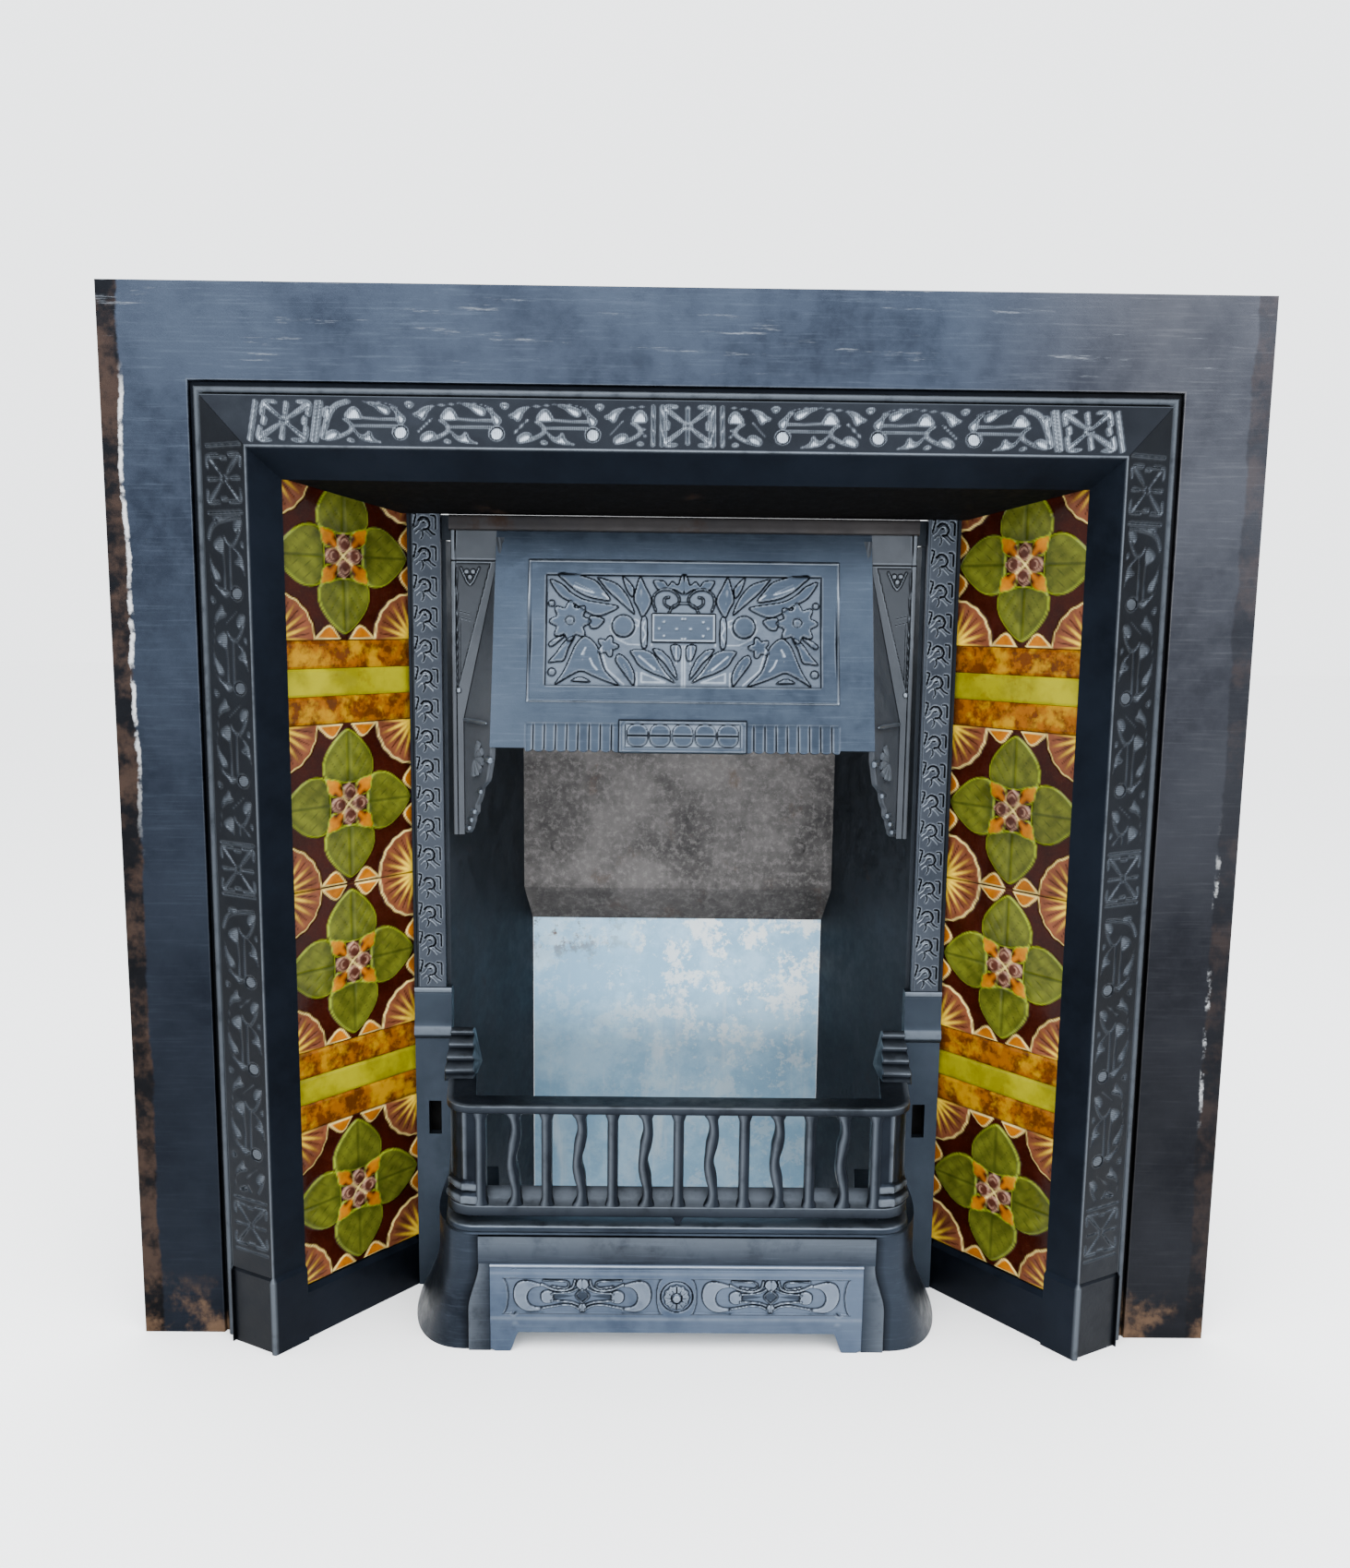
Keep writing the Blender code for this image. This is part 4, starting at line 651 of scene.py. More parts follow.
def plate_body():
    """Border, moulding, channel for the bands, return and plinth."""
    step = PLINTH_HEIGHT - PLINTH_CHAMFER
    sections, bright, painted_shade = [], [], []
    # Each ring's share of rubbing with painted highlight, and of painted shade.
    for half, top, y, wider, proud, rub_and_highlight, painted_shade_share in plate_rings():
        right = [(half, y, top), (half, y, PLINTH_HEIGHT), (half + wider, y + proud, step),
                 (half + wider, y + proud, 0)]
        sections.append([(-x, y, z) for x, y, z in right[::-1]] + right)
        bright.append([rub_and_highlight] * 8)
        painted_shade.append([painted_shade_share] * 8)
    rings = np.array(sections)
    spans, count = rings.shape[:2]
    faces = []
    for k in range(spans):
        far = (k + 1) % spans
        for i in range(count - 1):
            faces.append((k * count + i, k * count + i + 1, far * count + i + 1, far * count + i))
    faces.append([k * count for k in range(spans)])
    faces.append([k * count + count - 1 for k in range(spans)])
    values = {"bright": np.ravel(bright), "painted_shade": np.ravel(painted_shade)}
    points = rings.reshape(-1, 3) + (0, PLATE_Y, 0)
    item = mesh_piece("plate_body", points, faces, "plate", "front_plate", attributes=values, angle=30)
    data = item.data
    for look in ("band", "cheek"):
        data.materials.append(LOOKS[look])
    first_band, first_lip = 7, spans - 8
    for polygon in data.polygons:
        lowest = min(polygon.vertices) // count
        highest = max(polygon.vertices) // count
        if highest - lowest > 1:
            continue
        if first_band <= lowest < first_lip:
            polygon.material_index = 1
        elif lowest >= first_lip:
            polygon.material_index = 2
    return item


# One unit of the running ornament on a drawing 969 wide and 415 high
UNIT_WIDE = 969.0
UNIT_HIGH = 415.0
UNIT_PITCH = 0.0814
BAND_MARGIN = 0.0052
POCKETS = (
    [(180, 170), (196, 110), (235, 66), (270, 66), (305, 110), (325, 168)],
    [(-40, 388), (20, 325), (75, 300), (120, 318), (105, 362), (40, 390)],
    [(270, 280), (340, 340), (380, 352), (418, 330), (435, 288), (452, 340), (485, 382), (555, 409),
     (460, 402), (370, 385), (310, 335)],
    [(220, 405), (256, 376), (288, 405)],
    [(330, 4), (440, 14), (540, 40), (598, 65), (602, 118), (550, 118), (500, 85), (450, 45), (380, 20)],
    [(600, 50), (660, 62), (712, 112), (775, 170), (730, 228), (703, 170), (683, 115), (640, 72)],
    [(768, 10), (805, 62), (842, 10)],
    [(840, 135), (905, 108), (950, 67), (1045, 40), (995, 85), (972, 145), (945, 185), (918, 150)],
)
LINES = (
    ([(325, 172), (690, 177)], 8),
    ([(255, 245), (690, 247)], 8),
    ([(165, 185), (215, 212), (252, 262), (240, 302), (180, 340), (100, 372), (-40, 394)], 9),
    ([(330, 0), (500, 8), (620, 30), (690, 62)], 4),
    ([(950, 67), (1040, 38), (1180, 24), (1300, 10)], 5),
    ([(1050, 165), (985, 235), (920, 305)], 6),
    ([(270, 280), (340, 350), (440, 395), (560, 410)], 5),
)
RUN_END = [(180, 0), (75, 38), (18, 105), (-12, 215), (-33, 375)]


def scroll(relief, start, across, length):
    """Carve one run of the ornament; start counts from its outer end, across from the band's foot."""
    scale = UNIT_PITCH / UNIT_WIDE
    drop = (BAND_SLOPE - 2 * BAND_MARGIN) / UNIT_HIGH
    y = (across - BAND_MARGIN) / drop
    place = start / scale - 40
    unit = np.floor(place / UNIT_WIDE)
    x = place - unit * UNIT_WIDE
    within = ((start > 0) & (start < length)).astype(float)
    for shift in (0, UNIT_WIDE):
        later = within * (unit > 0) if shift else within
        # The carved hollows get painted highlights and the moat round each ball painted shade.
        for outline in POCKETS:
            away = to_shape(curve(outline, 3, True), x + shift, y) * scale
            relief.cut(away, 0.0018, 0.0012, bright=0.95, where=later)
        for points, half in LINES:
            away = to_line(curve(points, 4), x + shift, y) * scale - half * scale
            relief.cut(away, 0.0011, 0.0008, bright=0.75, where=later)
        ball = (np.hypot(x + shift - 743, y - 310) - 64) * scale
        moat = -ball - 0.0012 + np.maximum(0, ball) * 3
        relief.cut(moat, 0.0009, 0.0008, painted_shade=0.7, where=later * (ball < 0.002))
        relief.cut(ball, 0.0004, 0.001, bright=0.85, where=later)
    away = to_line(curve(RUN_END, 4), place, y) * scale - 14 * scale
    relief.cut(away, 0.0015, 0.001, bright=0.95, where=within * (place < UNIT_WIDE * 0.5))


HOOK = [(0.0195, 0.006), (0.019, 0.0185), (0.01, 0.019)]
SPOKES = ((90, 0.019), (270, 0.019), (42, 0.026), (138, 0.026), (222, 0.026), (318, 0.026))


def rosette(relief, along, across):
    """Carve a square block of spokes round a small ring."""
    x = along
    y = across - BAND_SLOPE / 2
    half = 0.0196
    radius = np.hypot(x, y)
    # The cuts of the block get painted highlights.
    for angle, reach in SPOKES:
        run, off = turned(x, y, math.radians(angle))
        away = np.maximum(np.abs(off) - (0.0003 + 0.045 * run), np.maximum(0.003 - run, run - reach))
        away = np.maximum(away, np.maximum(np.abs(x), np.abs(y)) - half)
        relief.cut(away, 0.0013, 0.0006, bright=0.95)
    for side in (-1, 1):
        off = np.abs(x - side * 0.0172)
        away = np.maximum(off - 0.0012, np.abs(y) - 0.0045 + off)
        relief.cut(away, 0.0012, 0.0007, bright=0.85)
        for up in (-1, 1):
            hook = curve(np.array(HOOK) * (side, up), 4)
            relief.cut(to_line(hook, x, y) - 0.001, 0.0013, 0.0007, bright=0.95)
    relief.cut(np.abs(radius - 0.003) - 0.0005, 0.001, 0.0005, bright=0.9)


def cross_line(relief, offset, across):
    """Carve one line across the band, with a painted highlight in it."""
    away = to_block(offset, across - BAND_SLOPE / 2, 0.0009, BAND_SLOPE / 2 - BAND_MARGIN)
    relief.cut(away, 0.0012, 0.0007, bright=0.85)


BAND_RUN = BAND_WIDTH - FOOT_IN
BAND_RISE = BAND_PROUD - FOOT_PROUD
BAND_SLOPE = math.hypot(BAND_RUN, BAND_RISE)
BAND_STEP = 0.001
BAND_THICKNESS = 0.0026
SIDE_ROSETTES = (0.7975, 0.4571, 0.1207)
SIDE_LINES = (0.8256, 0.7692, 0.4805, 0.4335, 0.146, 0.095)
SIDE_RUNS = ((0.766, 0.4885), (0.4208, 0.154))
TOP_ROSETTES = (-0.3427, 0.0, 0.3427)
TOP_LINES = (0.3692, 0.3167, 0.3112 + 0.0024, 0.0295, 0.022)
TOP_RUN = (0.3092, 0.0358)


def bands():
    """The three ornament bands, mitred at the upper corners."""
    start = BAND_SLOPE * 0.02
    end = BAND_SLOPE * 0.965
    cols = int(round((end - start) / BAND_STEP)) + 1
    across = np.linspace(start, end, cols)
    x = MOULDING_HALF - FOOT_IN
    z = MOULDING_TOP - FOOT_IN
    inward = BAND_RUN / BAND_SLOPE
    for side, name in ((-1, "band_left"), (1, "band_right")):
        face = plane((side * x, -FOOT_PROUD, 0), (-side * BAND_RUN, -BAND_RISE, 0), (0, 0, 1))
        rows = int(round((z - PLINTH_HEIGHT) / BAND_STEP))
        share = np.linspace(0, 1, rows)[:, None]
        top = z - across[None, :] * inward
        height = PLINTH_HEIGHT - 0.0004 + (top - PLINTH_HEIGHT) * share
        relief = Relief(np.broadcast_to(across[None, :], height.shape).copy(), height)
        for middle in SIDE_ROSETTES:
            rosette(relief, relief.y - middle, relief.x)
        for line in SIDE_LINES:
            cross_line(relief, relief.y - line, relief.x)
        for high, low in SIDE_RUNS:
            scroll(relief, high - relief.y, relief.x, high - low)
        relief.edge_wear_and_shade(BAND_STEP, 0.25)
        relief.bright *= 0.3
        if face.n[1] > 0:
            face = Plane(face.origin, -face.u, face.v, -face.n)
            relief.x = -relief.x
        panel(name, face, relief, BAND_THICKNESS, "band", "front_plate", along=relief.y)
    face = plane((0, -FOOT_PROUD, z), (-1, 0, 0), (0, -BAND_RISE, -BAND_RUN))
    count = int(round(2 * x / BAND_STEP))
    share = np.linspace(-1, 1, count)[None, :]
    reach = (x - across * inward)[:, None]
    relief = Relief(share * reach, np.broadcast_to(across[:, None], (cols, count)).copy())
    for middle in TOP_ROSETTES:
        rosette(relief, relief.x - middle, relief.y)
    for line in TOP_LINES:
        for side in (-1, 1):
            cross_line(relief, relief.x - side * line, relief.y)
    for side in (-1, 1):
        scroll(relief, TOP_RUN[0] - side * relief.x, relief.y, TOP_RUN[0] - TOP_RUN[1])
    relief.edge_wear_and_shade(BAND_STEP, 0.25)
    panel("band_top", face, relief, BAND_THICKNESS, "band", "front_plate", along=relief.x)


# Tiles

def cheek(side):
    """Plane of a splayed cheek: u runs inwards from the arris, v up, normal to the room."""
    face = plane((side * ARRIS_HALF, -BAND_PROUD, 0), (-side * COS, SIN, 0), (0, 0, 1))
    normal = np.array((-side * SIN, -COS, 0))
    return Plane(face.origin, face.u, face.v, normal)


GREEN = (0.057, 0.063, 0.006)
DARK_GREEN = (0.013, 0.019, 0.002)
CREAM = (0.5, 0.38, 0.12)
LEAF_EDGE = (0.13, 0.165, 0.008)
ORANGE = (0.205, 0.06, 0.0001)
MAROON = (0.014, 0.0018, 0.0006)
FAN = (0.088, 0.027, 0.012)
PINK = (0.22, 0.12, 0.08)
YELLOW = (0.66, 0.43, 0.012)


TILE_SUNK = 0.0014
PETAL = [(0.255, 0.0), (0.285, 0.2), (0.345, 0.335), (0.475, 0.365), (0.62, 0.325), (0.77, 0.215),
         (0.885, 0.09), (0.935, 0.0)]
KITE = [(0.1, 0.0), (0.24, 0.1), (0.33, 0.105), (0.475, 0.008), (0.475, -0.008), (0.33, -0.105), (0.24, -0.1)]


def tint(colours, share, tone):
    """Lay a tone over the glaze where a share says so."""
    colours[..., :3] = colours[..., :3] * (1 - share[..., None]) + np.array(tone) * share[..., None]


def flower_tile_relief(x, y):
    """Moulded flower of the six inch tile over a grid of -1..1, with its glazes."""
    relief = Relief(x, y)
    colours = np.ones((*x.shape, 4))
    colours[..., :3] = MAROON
    height = np.full(x.shape, -TILE_SUNK)

    def mould(away, tall):
        nonlocal height
        height = np.maximum(height, tall * eased(-away / 0.03 + 0.25) - TILE_SUNK)

    for cx in (-1, 1):
        for cy in (-1, 1):
            fx, fy = 1 - x * cx, 1 - y * cy
            radius, turn = np.hypot(fx, fy), np.arctan2(fy, fx)
            lobes = 0.58 + 0.006 * np.cos(turn * 20)
            away = radius - lobes
            mould(away, 0.0013)
            tint(colours, eased(-away / 0.02), FAN)
            streak = 0.5 + 0.5 * np.cos(turn * 20)
            glow = eased(1 - (radius - 0.06) / (0.2 + 0.32 * streak ** 2))
            tint(colours, eased(-away / 0.02) * glow, YELLOW)
            rib = np.abs(np.cos(turn * 10)) * radius / 10
            ends = eased((radius - 0.26) / 0.08) * eased((-away - 0.05) / 0.04)
            dark = 0.95 * eased(1 - rib / 0.014) * ends
            tint(colours, dark, MAROON)
            height = height - 0.0005 * dark
            line = eased(1 - np.abs(away + 0.01) / 0.016)
            tint(colours, line, CREAM)
    for k in range(4):
        along, off = turned(x, y, math.pi / 2 * k)
        spread = np.abs(off)
        for way in (-1, 1):
            wing = curve([(0.99, way * 0.06), (0.82, way * 0.22), (0.985, way * 0.43)], 3)
            patch = to_shape(np.vstack([wing, [(0.99, way * 0.2)]]), along, off)
            mould(patch, 0.0009)
            tint(colours, eased(-patch / 0.02), ORANGE)
            tint(colours, eased(1 - np.abs(patch + 0.008) / 0.015), CREAM)
        outline = curve(PETAL, 4)
        away = to_shape(np.vstack([outline, outline[::-1][1:-1] * (1, -1)]), along, off)
        mould(away, 0.002)
        share = eased(-away / 0.02)
        tint(colours, share, GREEN)
        swirl = eased(0.5 + 0.5 * np.sin(along * 21 + spread * 26))
        tint(colours, share * 0.35 * swirl, DARK_GREEN)
        tint(colours, share * 0.7 * eased(1 - (along - 0.25) / 0.22), DARK_GREEN)
        rib = eased(1 - spread / 0.02) * eased(-away / 0.06)
        vein = np.abs(np.sin((along - spread * 1.4) * 17)) * 0.06
        fine = eased(1 - vein / 0.012) * eased(-away / 0.1) * eased((spread - 0.03) / 0.05)
        tint(colours, rib * 0.9, DARK_GREEN)
        tint(colours, fine * 0.75, DARK_GREEN)
        height = height - 0.0006 * rib - 0.0002 * fine
        line = eased(1 - np.abs(away + 0.008) / 0.015)
        tint(colours, line, LEAF_EDGE)
        height = height + 0.0003 * line
    for k in range(4):
        along, off = turned(x, y, math.pi / 4 + math.pi / 2 * k)
        away = to_shape(KITE, along, off)
        mould(away, 0.0024)
        tint(colours, eased(-away / 0.02), ORANGE)
        tint(colours, eased(-away / 0.02) * eased((along - 0.26) / 0.2) * 0.12, YELLOW)
        tint(colours, eased(-away / 0.02) * eased((0.3 - along) / 0.06) * eased(np.abs(off) / 0.06), MAROON)
        tint(colours, eased(1 - np.abs(away + 0.006) / 0.013), LEAF_EDGE)
    for k in range(4):
        along, off = turned(x, y, math.pi / 2 * k)
        notch = eased((along - 0.19) / 0.08) * eased(1 - np.abs(off) / 0.05)
        away = np.hypot(along - 0.15, off * 1.05) - 0.098 - 0.02 * notch
        mould(away, 0.0032)
        tint(colours, eased(-away / 0.02), (0.034, 0.01, 0.006))
        tint(colours, 0.8 * eased(1 - np.abs(away + 0.05) / 0.018) * eased(np.sin(along * 40) + 0.6), PINK)
        tint(colours, eased(1 - np.abs(away + 0.008) / 0.017), PINK)
    for a in (math.pi / 4, 3 * math.pi / 4):
        reach, off = turned(x, y, a)
        tint(colours, eased(1 - np.abs(off) / 0.02) * eased((0.17 - np.abs(reach)) / 0.03), CREAM)
    rim = np.minimum(1 - np.abs(x), 1 - np.abs(y)) * LARGE_TILE / 2
    height = height - 0.0008 * eased(1 - rim / 0.001)
    tint(colours, 0.75 * eased(1 - rim / 0.0011), (0.05, 0.02, 0.01))
    relief.height = height
    return relief, colours


def tiles():
    """Both columns of tiles."""
    u, v = np.meshgrid(np.linspace(-1, 1, 100), np.linspace(-1, 1, 124))
    flower, colours = flower_tile_relief(u, v)
    half = LARGE_TILE / 2
    rng = np.random.default_rng(7)
    for side, word in SIDES:
        face = cheek(side)
        for number in range(1, 5):
            low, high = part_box(f"{word}_flower_tile_{number}")
            middle = (low.z + high.z) / 2
            x = TILE_START + half + flower.x * (half - 0.0002)
            relief = Relief(x, middle + flower.y * (half - 0.0003))
            relief.height = flower.height - TILE_DEPTH
            tinted = colours.copy()
            tinted[..., :3] *= rng.uniform(0.9, 1.1)
            panel(f"{word}_flower_{number}", face, relief, TILE_DEPTH + TILE_BODY, "flower",
                  f"{word}_flower_tile_{number}", colours=tinted)
        for number in range(1, 7):
            node = f"{word}_border_tile_{number}"
            low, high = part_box(node)
            x, y = grid(TILE_START, TILE_START + LARGE_TILE, low.z, high.z, 0.0016)
            relief = Relief(x, y, -TILE_DEPTH)
            rim = np.minimum(np.minimum(x - x.min(), x.max() - x), np.minimum(y - y.min(), y.max() - y))
            waves = 0.0001 * np.sin(x * 160 + number) * np.sin(y * 240)
            relief.height += waves - TILE_SUNK * eased(1 - rim / 0.0022)
            relief.painted_shade = eased(1 - rim / 0.0008)
            look = "olive" if number % 3 == 2 else "amber"
            panel(f"{word}_strip_{number}", face, relief, TILE_DEPTH + TILE_BODY, look, node)


# Jambs

def add_block(mesh, low, high):
    """Add a box between two corners in plate coordinates."""
    xs, ys, zs = zip(low, high)
    v = [mesh.verts.new((x, y + PLATE_Y, z)) for x in xs for y in ys for z in zs]
    for a, b, c, d in ((0, 1, 3, 2), (4, 6, 7, 5), (0, 4, 5, 1), (2, 3, 7, 6), (0, 2, 6, 4), (1, 5, 7, 3)):
        mesh.faces.new((v[a], v[b], v[c], v[d]))


def solid_piece(name, mesh, look, node, bevel):
    """Object from a mesh in work, with softened edges."""
    bmesh.ops.recalc_face_normals(mesh, faces=mesh.faces)
    if bevel:
        bmesh.ops.bevel(mesh, geom=list(mesh.edges), offset=bevel, segments=2, affect="EDGES", profile=0.5)
    data = bpy.data.meshes.new(name)
    mesh.to_mesh(data)
    mesh.free()
    return finish_piece(name, data, look, node)


def block_piece(name, blocks, look, node, bevel=0.0006):
    """Object made of boxes."""
    mesh = bmesh.new()
    for low, high in blocks:
        add_block(mesh, low, high)
    return solid_piece(name, mesh, look, node, bevel)


def outline_piece(name, outline, face, low, high, look, node, bevel=0.0006):
    """Prism on a working plane."""
    mesh = bmesh.new()
    pts = np.array(outline, float)
    bottom, top = ([mesh.verts.new(p) for p in on(face, pts[:, 0], pts[:, 1], h)] for h in (low, high))
    mesh.faces.new(bottom)
    mesh.faces.new(top)
    for i in range(len(bottom)):
        j = (i + 1) % len(bottom)
        mesh.faces.new((bottom[i], bottom[j], top[j], top[i]))
    return solid_piece(name, mesh, look, node, bevel)


JAMB_MARKS = (
    ([(-0.006, 0.0062), (-0.0024, 0.0092), (0.0026, 0.0078), (0.0048, 0.003), (0.003, -0.0012),
      (-0.0008, -0.0022)], 0.0011),
    ([(0.003, -0.0014), (0.0062, -0.005), (0.0098, -0.0072)], 0.0008),
    ([(-0.0106, 0.013), (-0.0082, 0.0118), (-0.0094, 0.006), (-0.0106, 0.001)], 0.0009),
    ([(0.006, 0.0108), (0.01, 0.01), (0.0104, 0.004), (0.0104, -0.0018)], 0.0009),
    ([(-0.003, -0.0026), (-0.0016, -0.007), (-0.0034, -0.011)], 0.0007),
    ([(-0.0014, 0.004), (-0.0006, 0.0044)], 0.0009),
)
JAMB_LIGHTS = (
    [(-0.01, -0.002), (-0.006, 0.001), (-0.0034, 0.0052), (0.001, 0.0056), (0.002, 0.0026)],
    [(-0.0084, -0.006), (-0.0046, -0.003), (0.001, -0.005), (0.006, -0.01)],
)


ROLL = [(0.001, 0.0), (-0.0012, -0.0006), (-0.002, -0.003), (-0.001, -0.0062), (-0.0016, -0.0085),
        (-0.0022, -0.024), (-0.003, -0.034), (-0.0058, -0.042), (-0.0066, -0.0465), (-0.005, -0.05),
        (-0.0022, -0.0527), (0.001, -0.053)]


def jamb_foot(side, word):
    """Plain lower part of a jamb with its slot, a near-black plate behind the slot as painted shade, and the
    roll under the scroll.
    """
    node = f"{word}_jamb"
    slot_out = JAMB_WIDTH - 0.0065 - 0.006
    slot_in = slot_out - 0.0126
    slot_low, slot_high = 0.163, 0.198
    inner = -JAMB_FOOT_INSET
    edge = JAMB_WIDTH

    def block(u0, u1, z0, z1, front=0.0, back=JAMB_THICKNESS):
        a, b = sorted((side * (OPENING_HALF + u0), side * (OPENING_HALF + u1)))
        return (a, JAMB_FRONT - front, z0), (b, JAMB_FRONT + back, z1)

    blocks = [block(inner, edge, 0, slot_low), block(inner, slot_in, slot_low, slot_high),
              block(slot_out, edge, slot_low, slot_high), block(inner, edge, slot_high, JAMB_FOOT_TOP)]
    block_piece(f"{word}_jamb_foot", blocks, "jamb_foot", node, bevel=0)
    back = JAMB_THICKNESS + GAP
    # Painted shade: a near-black plate behind the slot, not part of the insert.
    shade_plate = block(0.0, edge - 0.002, slot_low - 0.012, slot_high + 0.012, -back - 0.0095, back + 0.012)
    block_piece(f"{word}_slot_shade_plate", [shade_plate], "black", None, bevel=0)
    profile = curve(ROLL, 4)
    rings = []
    for u in (inner + 0.0001, edge - 0.0002):
        rings.append([(side * (OPENING_HALF + u), JAMB_FRONT + y, JAMB_FOOT_TOP + z) for y, z in profile])
    # Painted highlights on the roll's rounded parts.
    rub_and_highlight = [0.45 if -0.0047 < z < -0.001 else (0.3 if -0.048 < z < -0.039 else 0.0) for y, z in profile]
    loft(f"{word}_jamb_roll", rings, "jamb_foot", node, attributes={"bright": np.array(rub_and_highlight * 2)})


def jambs():
    """Upright strips beside the opening."""
    step = 0.00078
    for side, word in SIDES:
        jamb_foot(side, word)
        face = plane((0, JAMB_FRONT, 0), (1, 0, 0), (0, 0, 1))
        left, right = sorted((side * OPENING_HALF, side * (OPENING_HALF + JAMB_WIDTH)))
        x, z = grid(left, right, JAMB_FOOT_TOP + 0.0002, JAMB_TOP, step)
        relief = Relief(x, z, 0.001)
        px = x - (left + right) / 2 + side * 0.0012
        outer = x * side - OPENING_HALF - JAMB_WIDTH
        relief.cut(-outer - 0.0042, -0.0002, 0.0008)
        # Painted shade along the jamb's outer strip and in its two grooves.
        relief.shade(0.85 * eased((outer + 0.0052) / 0.0008))
        for rail in (-0.0124, 0.0118):
            relief.cut(np.abs(px - rail) - 0.0004, 0.0, 0.0005, painted_shade=0.5)
        place = (z - JAMB_FOOT_TOP) / JAMB_PITCH
        y = (place - np.floor(place) - 0.5) * JAMB_PITCH
        # Painted shade in the incised marks and painted highlights on the raised strokes.
        for line, half in JAMB_MARKS:
            for shift in (-JAMB_PITCH, 0, JAMB_PITCH):
                away = to_line(curve(line, 4), px, y + shift)
                relief.cut(away - half, 0.0006, 0.0008, painted_shade=1.0)
        for line in JAMB_LIGHTS:
            away = to_line(curve(line, 4), px, y)
            relief.lift(away - 0.0009, 0.0007, 0.0008, bright=0.35)
        relief.edge_wear_and_shade(step, 0.4)
        panel(f"{word}_jamb_scroll", face, relief, JAMB_THICKNESS - 0.0002, "jamb", f"{word}_jamb")


# Canopy

def drawn(points):
    """Hood ornament points from a drawing of its left half to metres on the hood's plane."""
    pts = np.array(points, float)
    across = (pts[:, 0] - 828) * 0.13 / (596.4 + 0.0358 * pts[:, 1])
    return np.stack([across, 0.164 - (pts[:, 1] - 185) * 0.0002222], -1)


FRINGE_PITCH = 0.0105
FRINGE_START = 0.056
FRINGE_END = 0.147
FRINGE_DROP = 0.005
CARD_HALF = 0.06
HOOD_SILVER = 0.21
HOOD_LEAVES = (
    [(275, 182), (335, 181), (390, 190), (440, 208), (470, 240), (505, 292), (450, 290), (395, 276),
     (345, 248), (308, 216)],
    [(238, 206), (290, 222), (335, 262), (390, 290), (455, 302), (540, 318), (500, 346), (445, 362),
     (392, 342), (340, 308), (280, 275)],
    [(448, 193), (490, 204), (530, 218), (560, 245), (590, 290), (612, 352), (572, 322), (532, 288),
     (495, 255), (468, 222)],
    [(558, 188), (590, 212), (610, 245), (600, 278), (574, 244)],
    [(635, 188), (660, 232), (684, 280), (678, 320), (645, 364), (624, 325), (606, 290), (616, 240)],
    [(228, 480), (262, 456), (300, 448), (278, 470), (240, 496)],
    [(224, 562), (262, 520), (300, 470), (345, 448), (318, 500), (296, 553), (262, 560)],
    [(395, 448), (352, 478), (322, 538), (292, 600), (252, 657), (325, 618), (372, 600), (425, 620),
     (480, 641), (542, 657), (484, 600), (460, 540), (444, 488)],
    [(540, 522), (572, 540), (600, 580), (613, 622), (604, 657), (574, 622), (540, 578), (524, 548)],
    [(592, 508), (650, 503), (695, 522), (722, 560), (752, 602), (792, 645), (738, 622), (682, 602),
     (630, 572), (608, 540)],
    [(690, 498), (730, 504), (748, 520), (770, 540), (782, 566), (794, 590), (802, 632), (772, 602),
     (742, 562), (712, 534)],
)
HOOD_PLAIN = (
    [(412, 362), (478, 374), (448, 412), (414, 412)],
    [(325, 641), (370, 622), (412, 645)],
    [(694, 204), (740, 206), (758, 226), (776, 206), (800, 222), (812, 192), (828, 182), (828, 262),
     (790, 246), (752, 242), (716, 246), (700, 226)],
    [(770, 486), (814, 486), (814, 545), (788, 545)],
    [(640, 372), (666, 372), (666, 486), (640, 486)],
)
HOOD_LINES = (
    ([(704, 334), (692, 296), (702, 262), (736, 244), (776, 248), (806, 276), (800, 308), (770, 322),
      (744, 306), (744, 282), (762, 276)], 0.0011),
    ([(762, 344), (780, 316), (806, 304), (828, 302)], 0.001),
)
HOOD_BRIGHT = (
    [(345, 234), (392, 252), (430, 262)], [(505, 292), (470, 266)], [(512, 372), (506, 412), (528, 456),
    (580, 480), (632, 482)], [(612, 372), (630, 380), (628, 402), (612, 396)], [(655, 382), (648, 412),
    (660, 440), (648, 470)], [(640, 602), (640, 642), (748, 642), (640, 602)], [(618, 600), (618, 660)],
    [(822, 486), (822, 662)], [(796, 490), (796, 562)], [(392, 500), (376, 528)], [(412, 545), (424, 572),
    (442, 592)], [(630, 532), (672, 566), (700, 590)], [(712, 540), (744, 600), (790, 646)], [(462, 505),
    (486, 588), (560, 652)], [(686, 344), (686, 486)],
)
HOOD_STUDS = ((740, 385), (823, 372), (720, 413), (797, 415), (740, 445), (823, 457))
BRACKET_STEPS = (
    (0.06, 0.0), (0.1, 0.002), (0.2, 0.006), (0.22, 0.01), (0.29, 0.014), (0.31, 0.02), (0.42, 0.024),
    (0.44, 0.032), (0.56, 0.04), (0.62, 0.05), (0.84, 0.058), (0.9, 0.068), (0.97, 0.08), (1.0, 0.092),
)


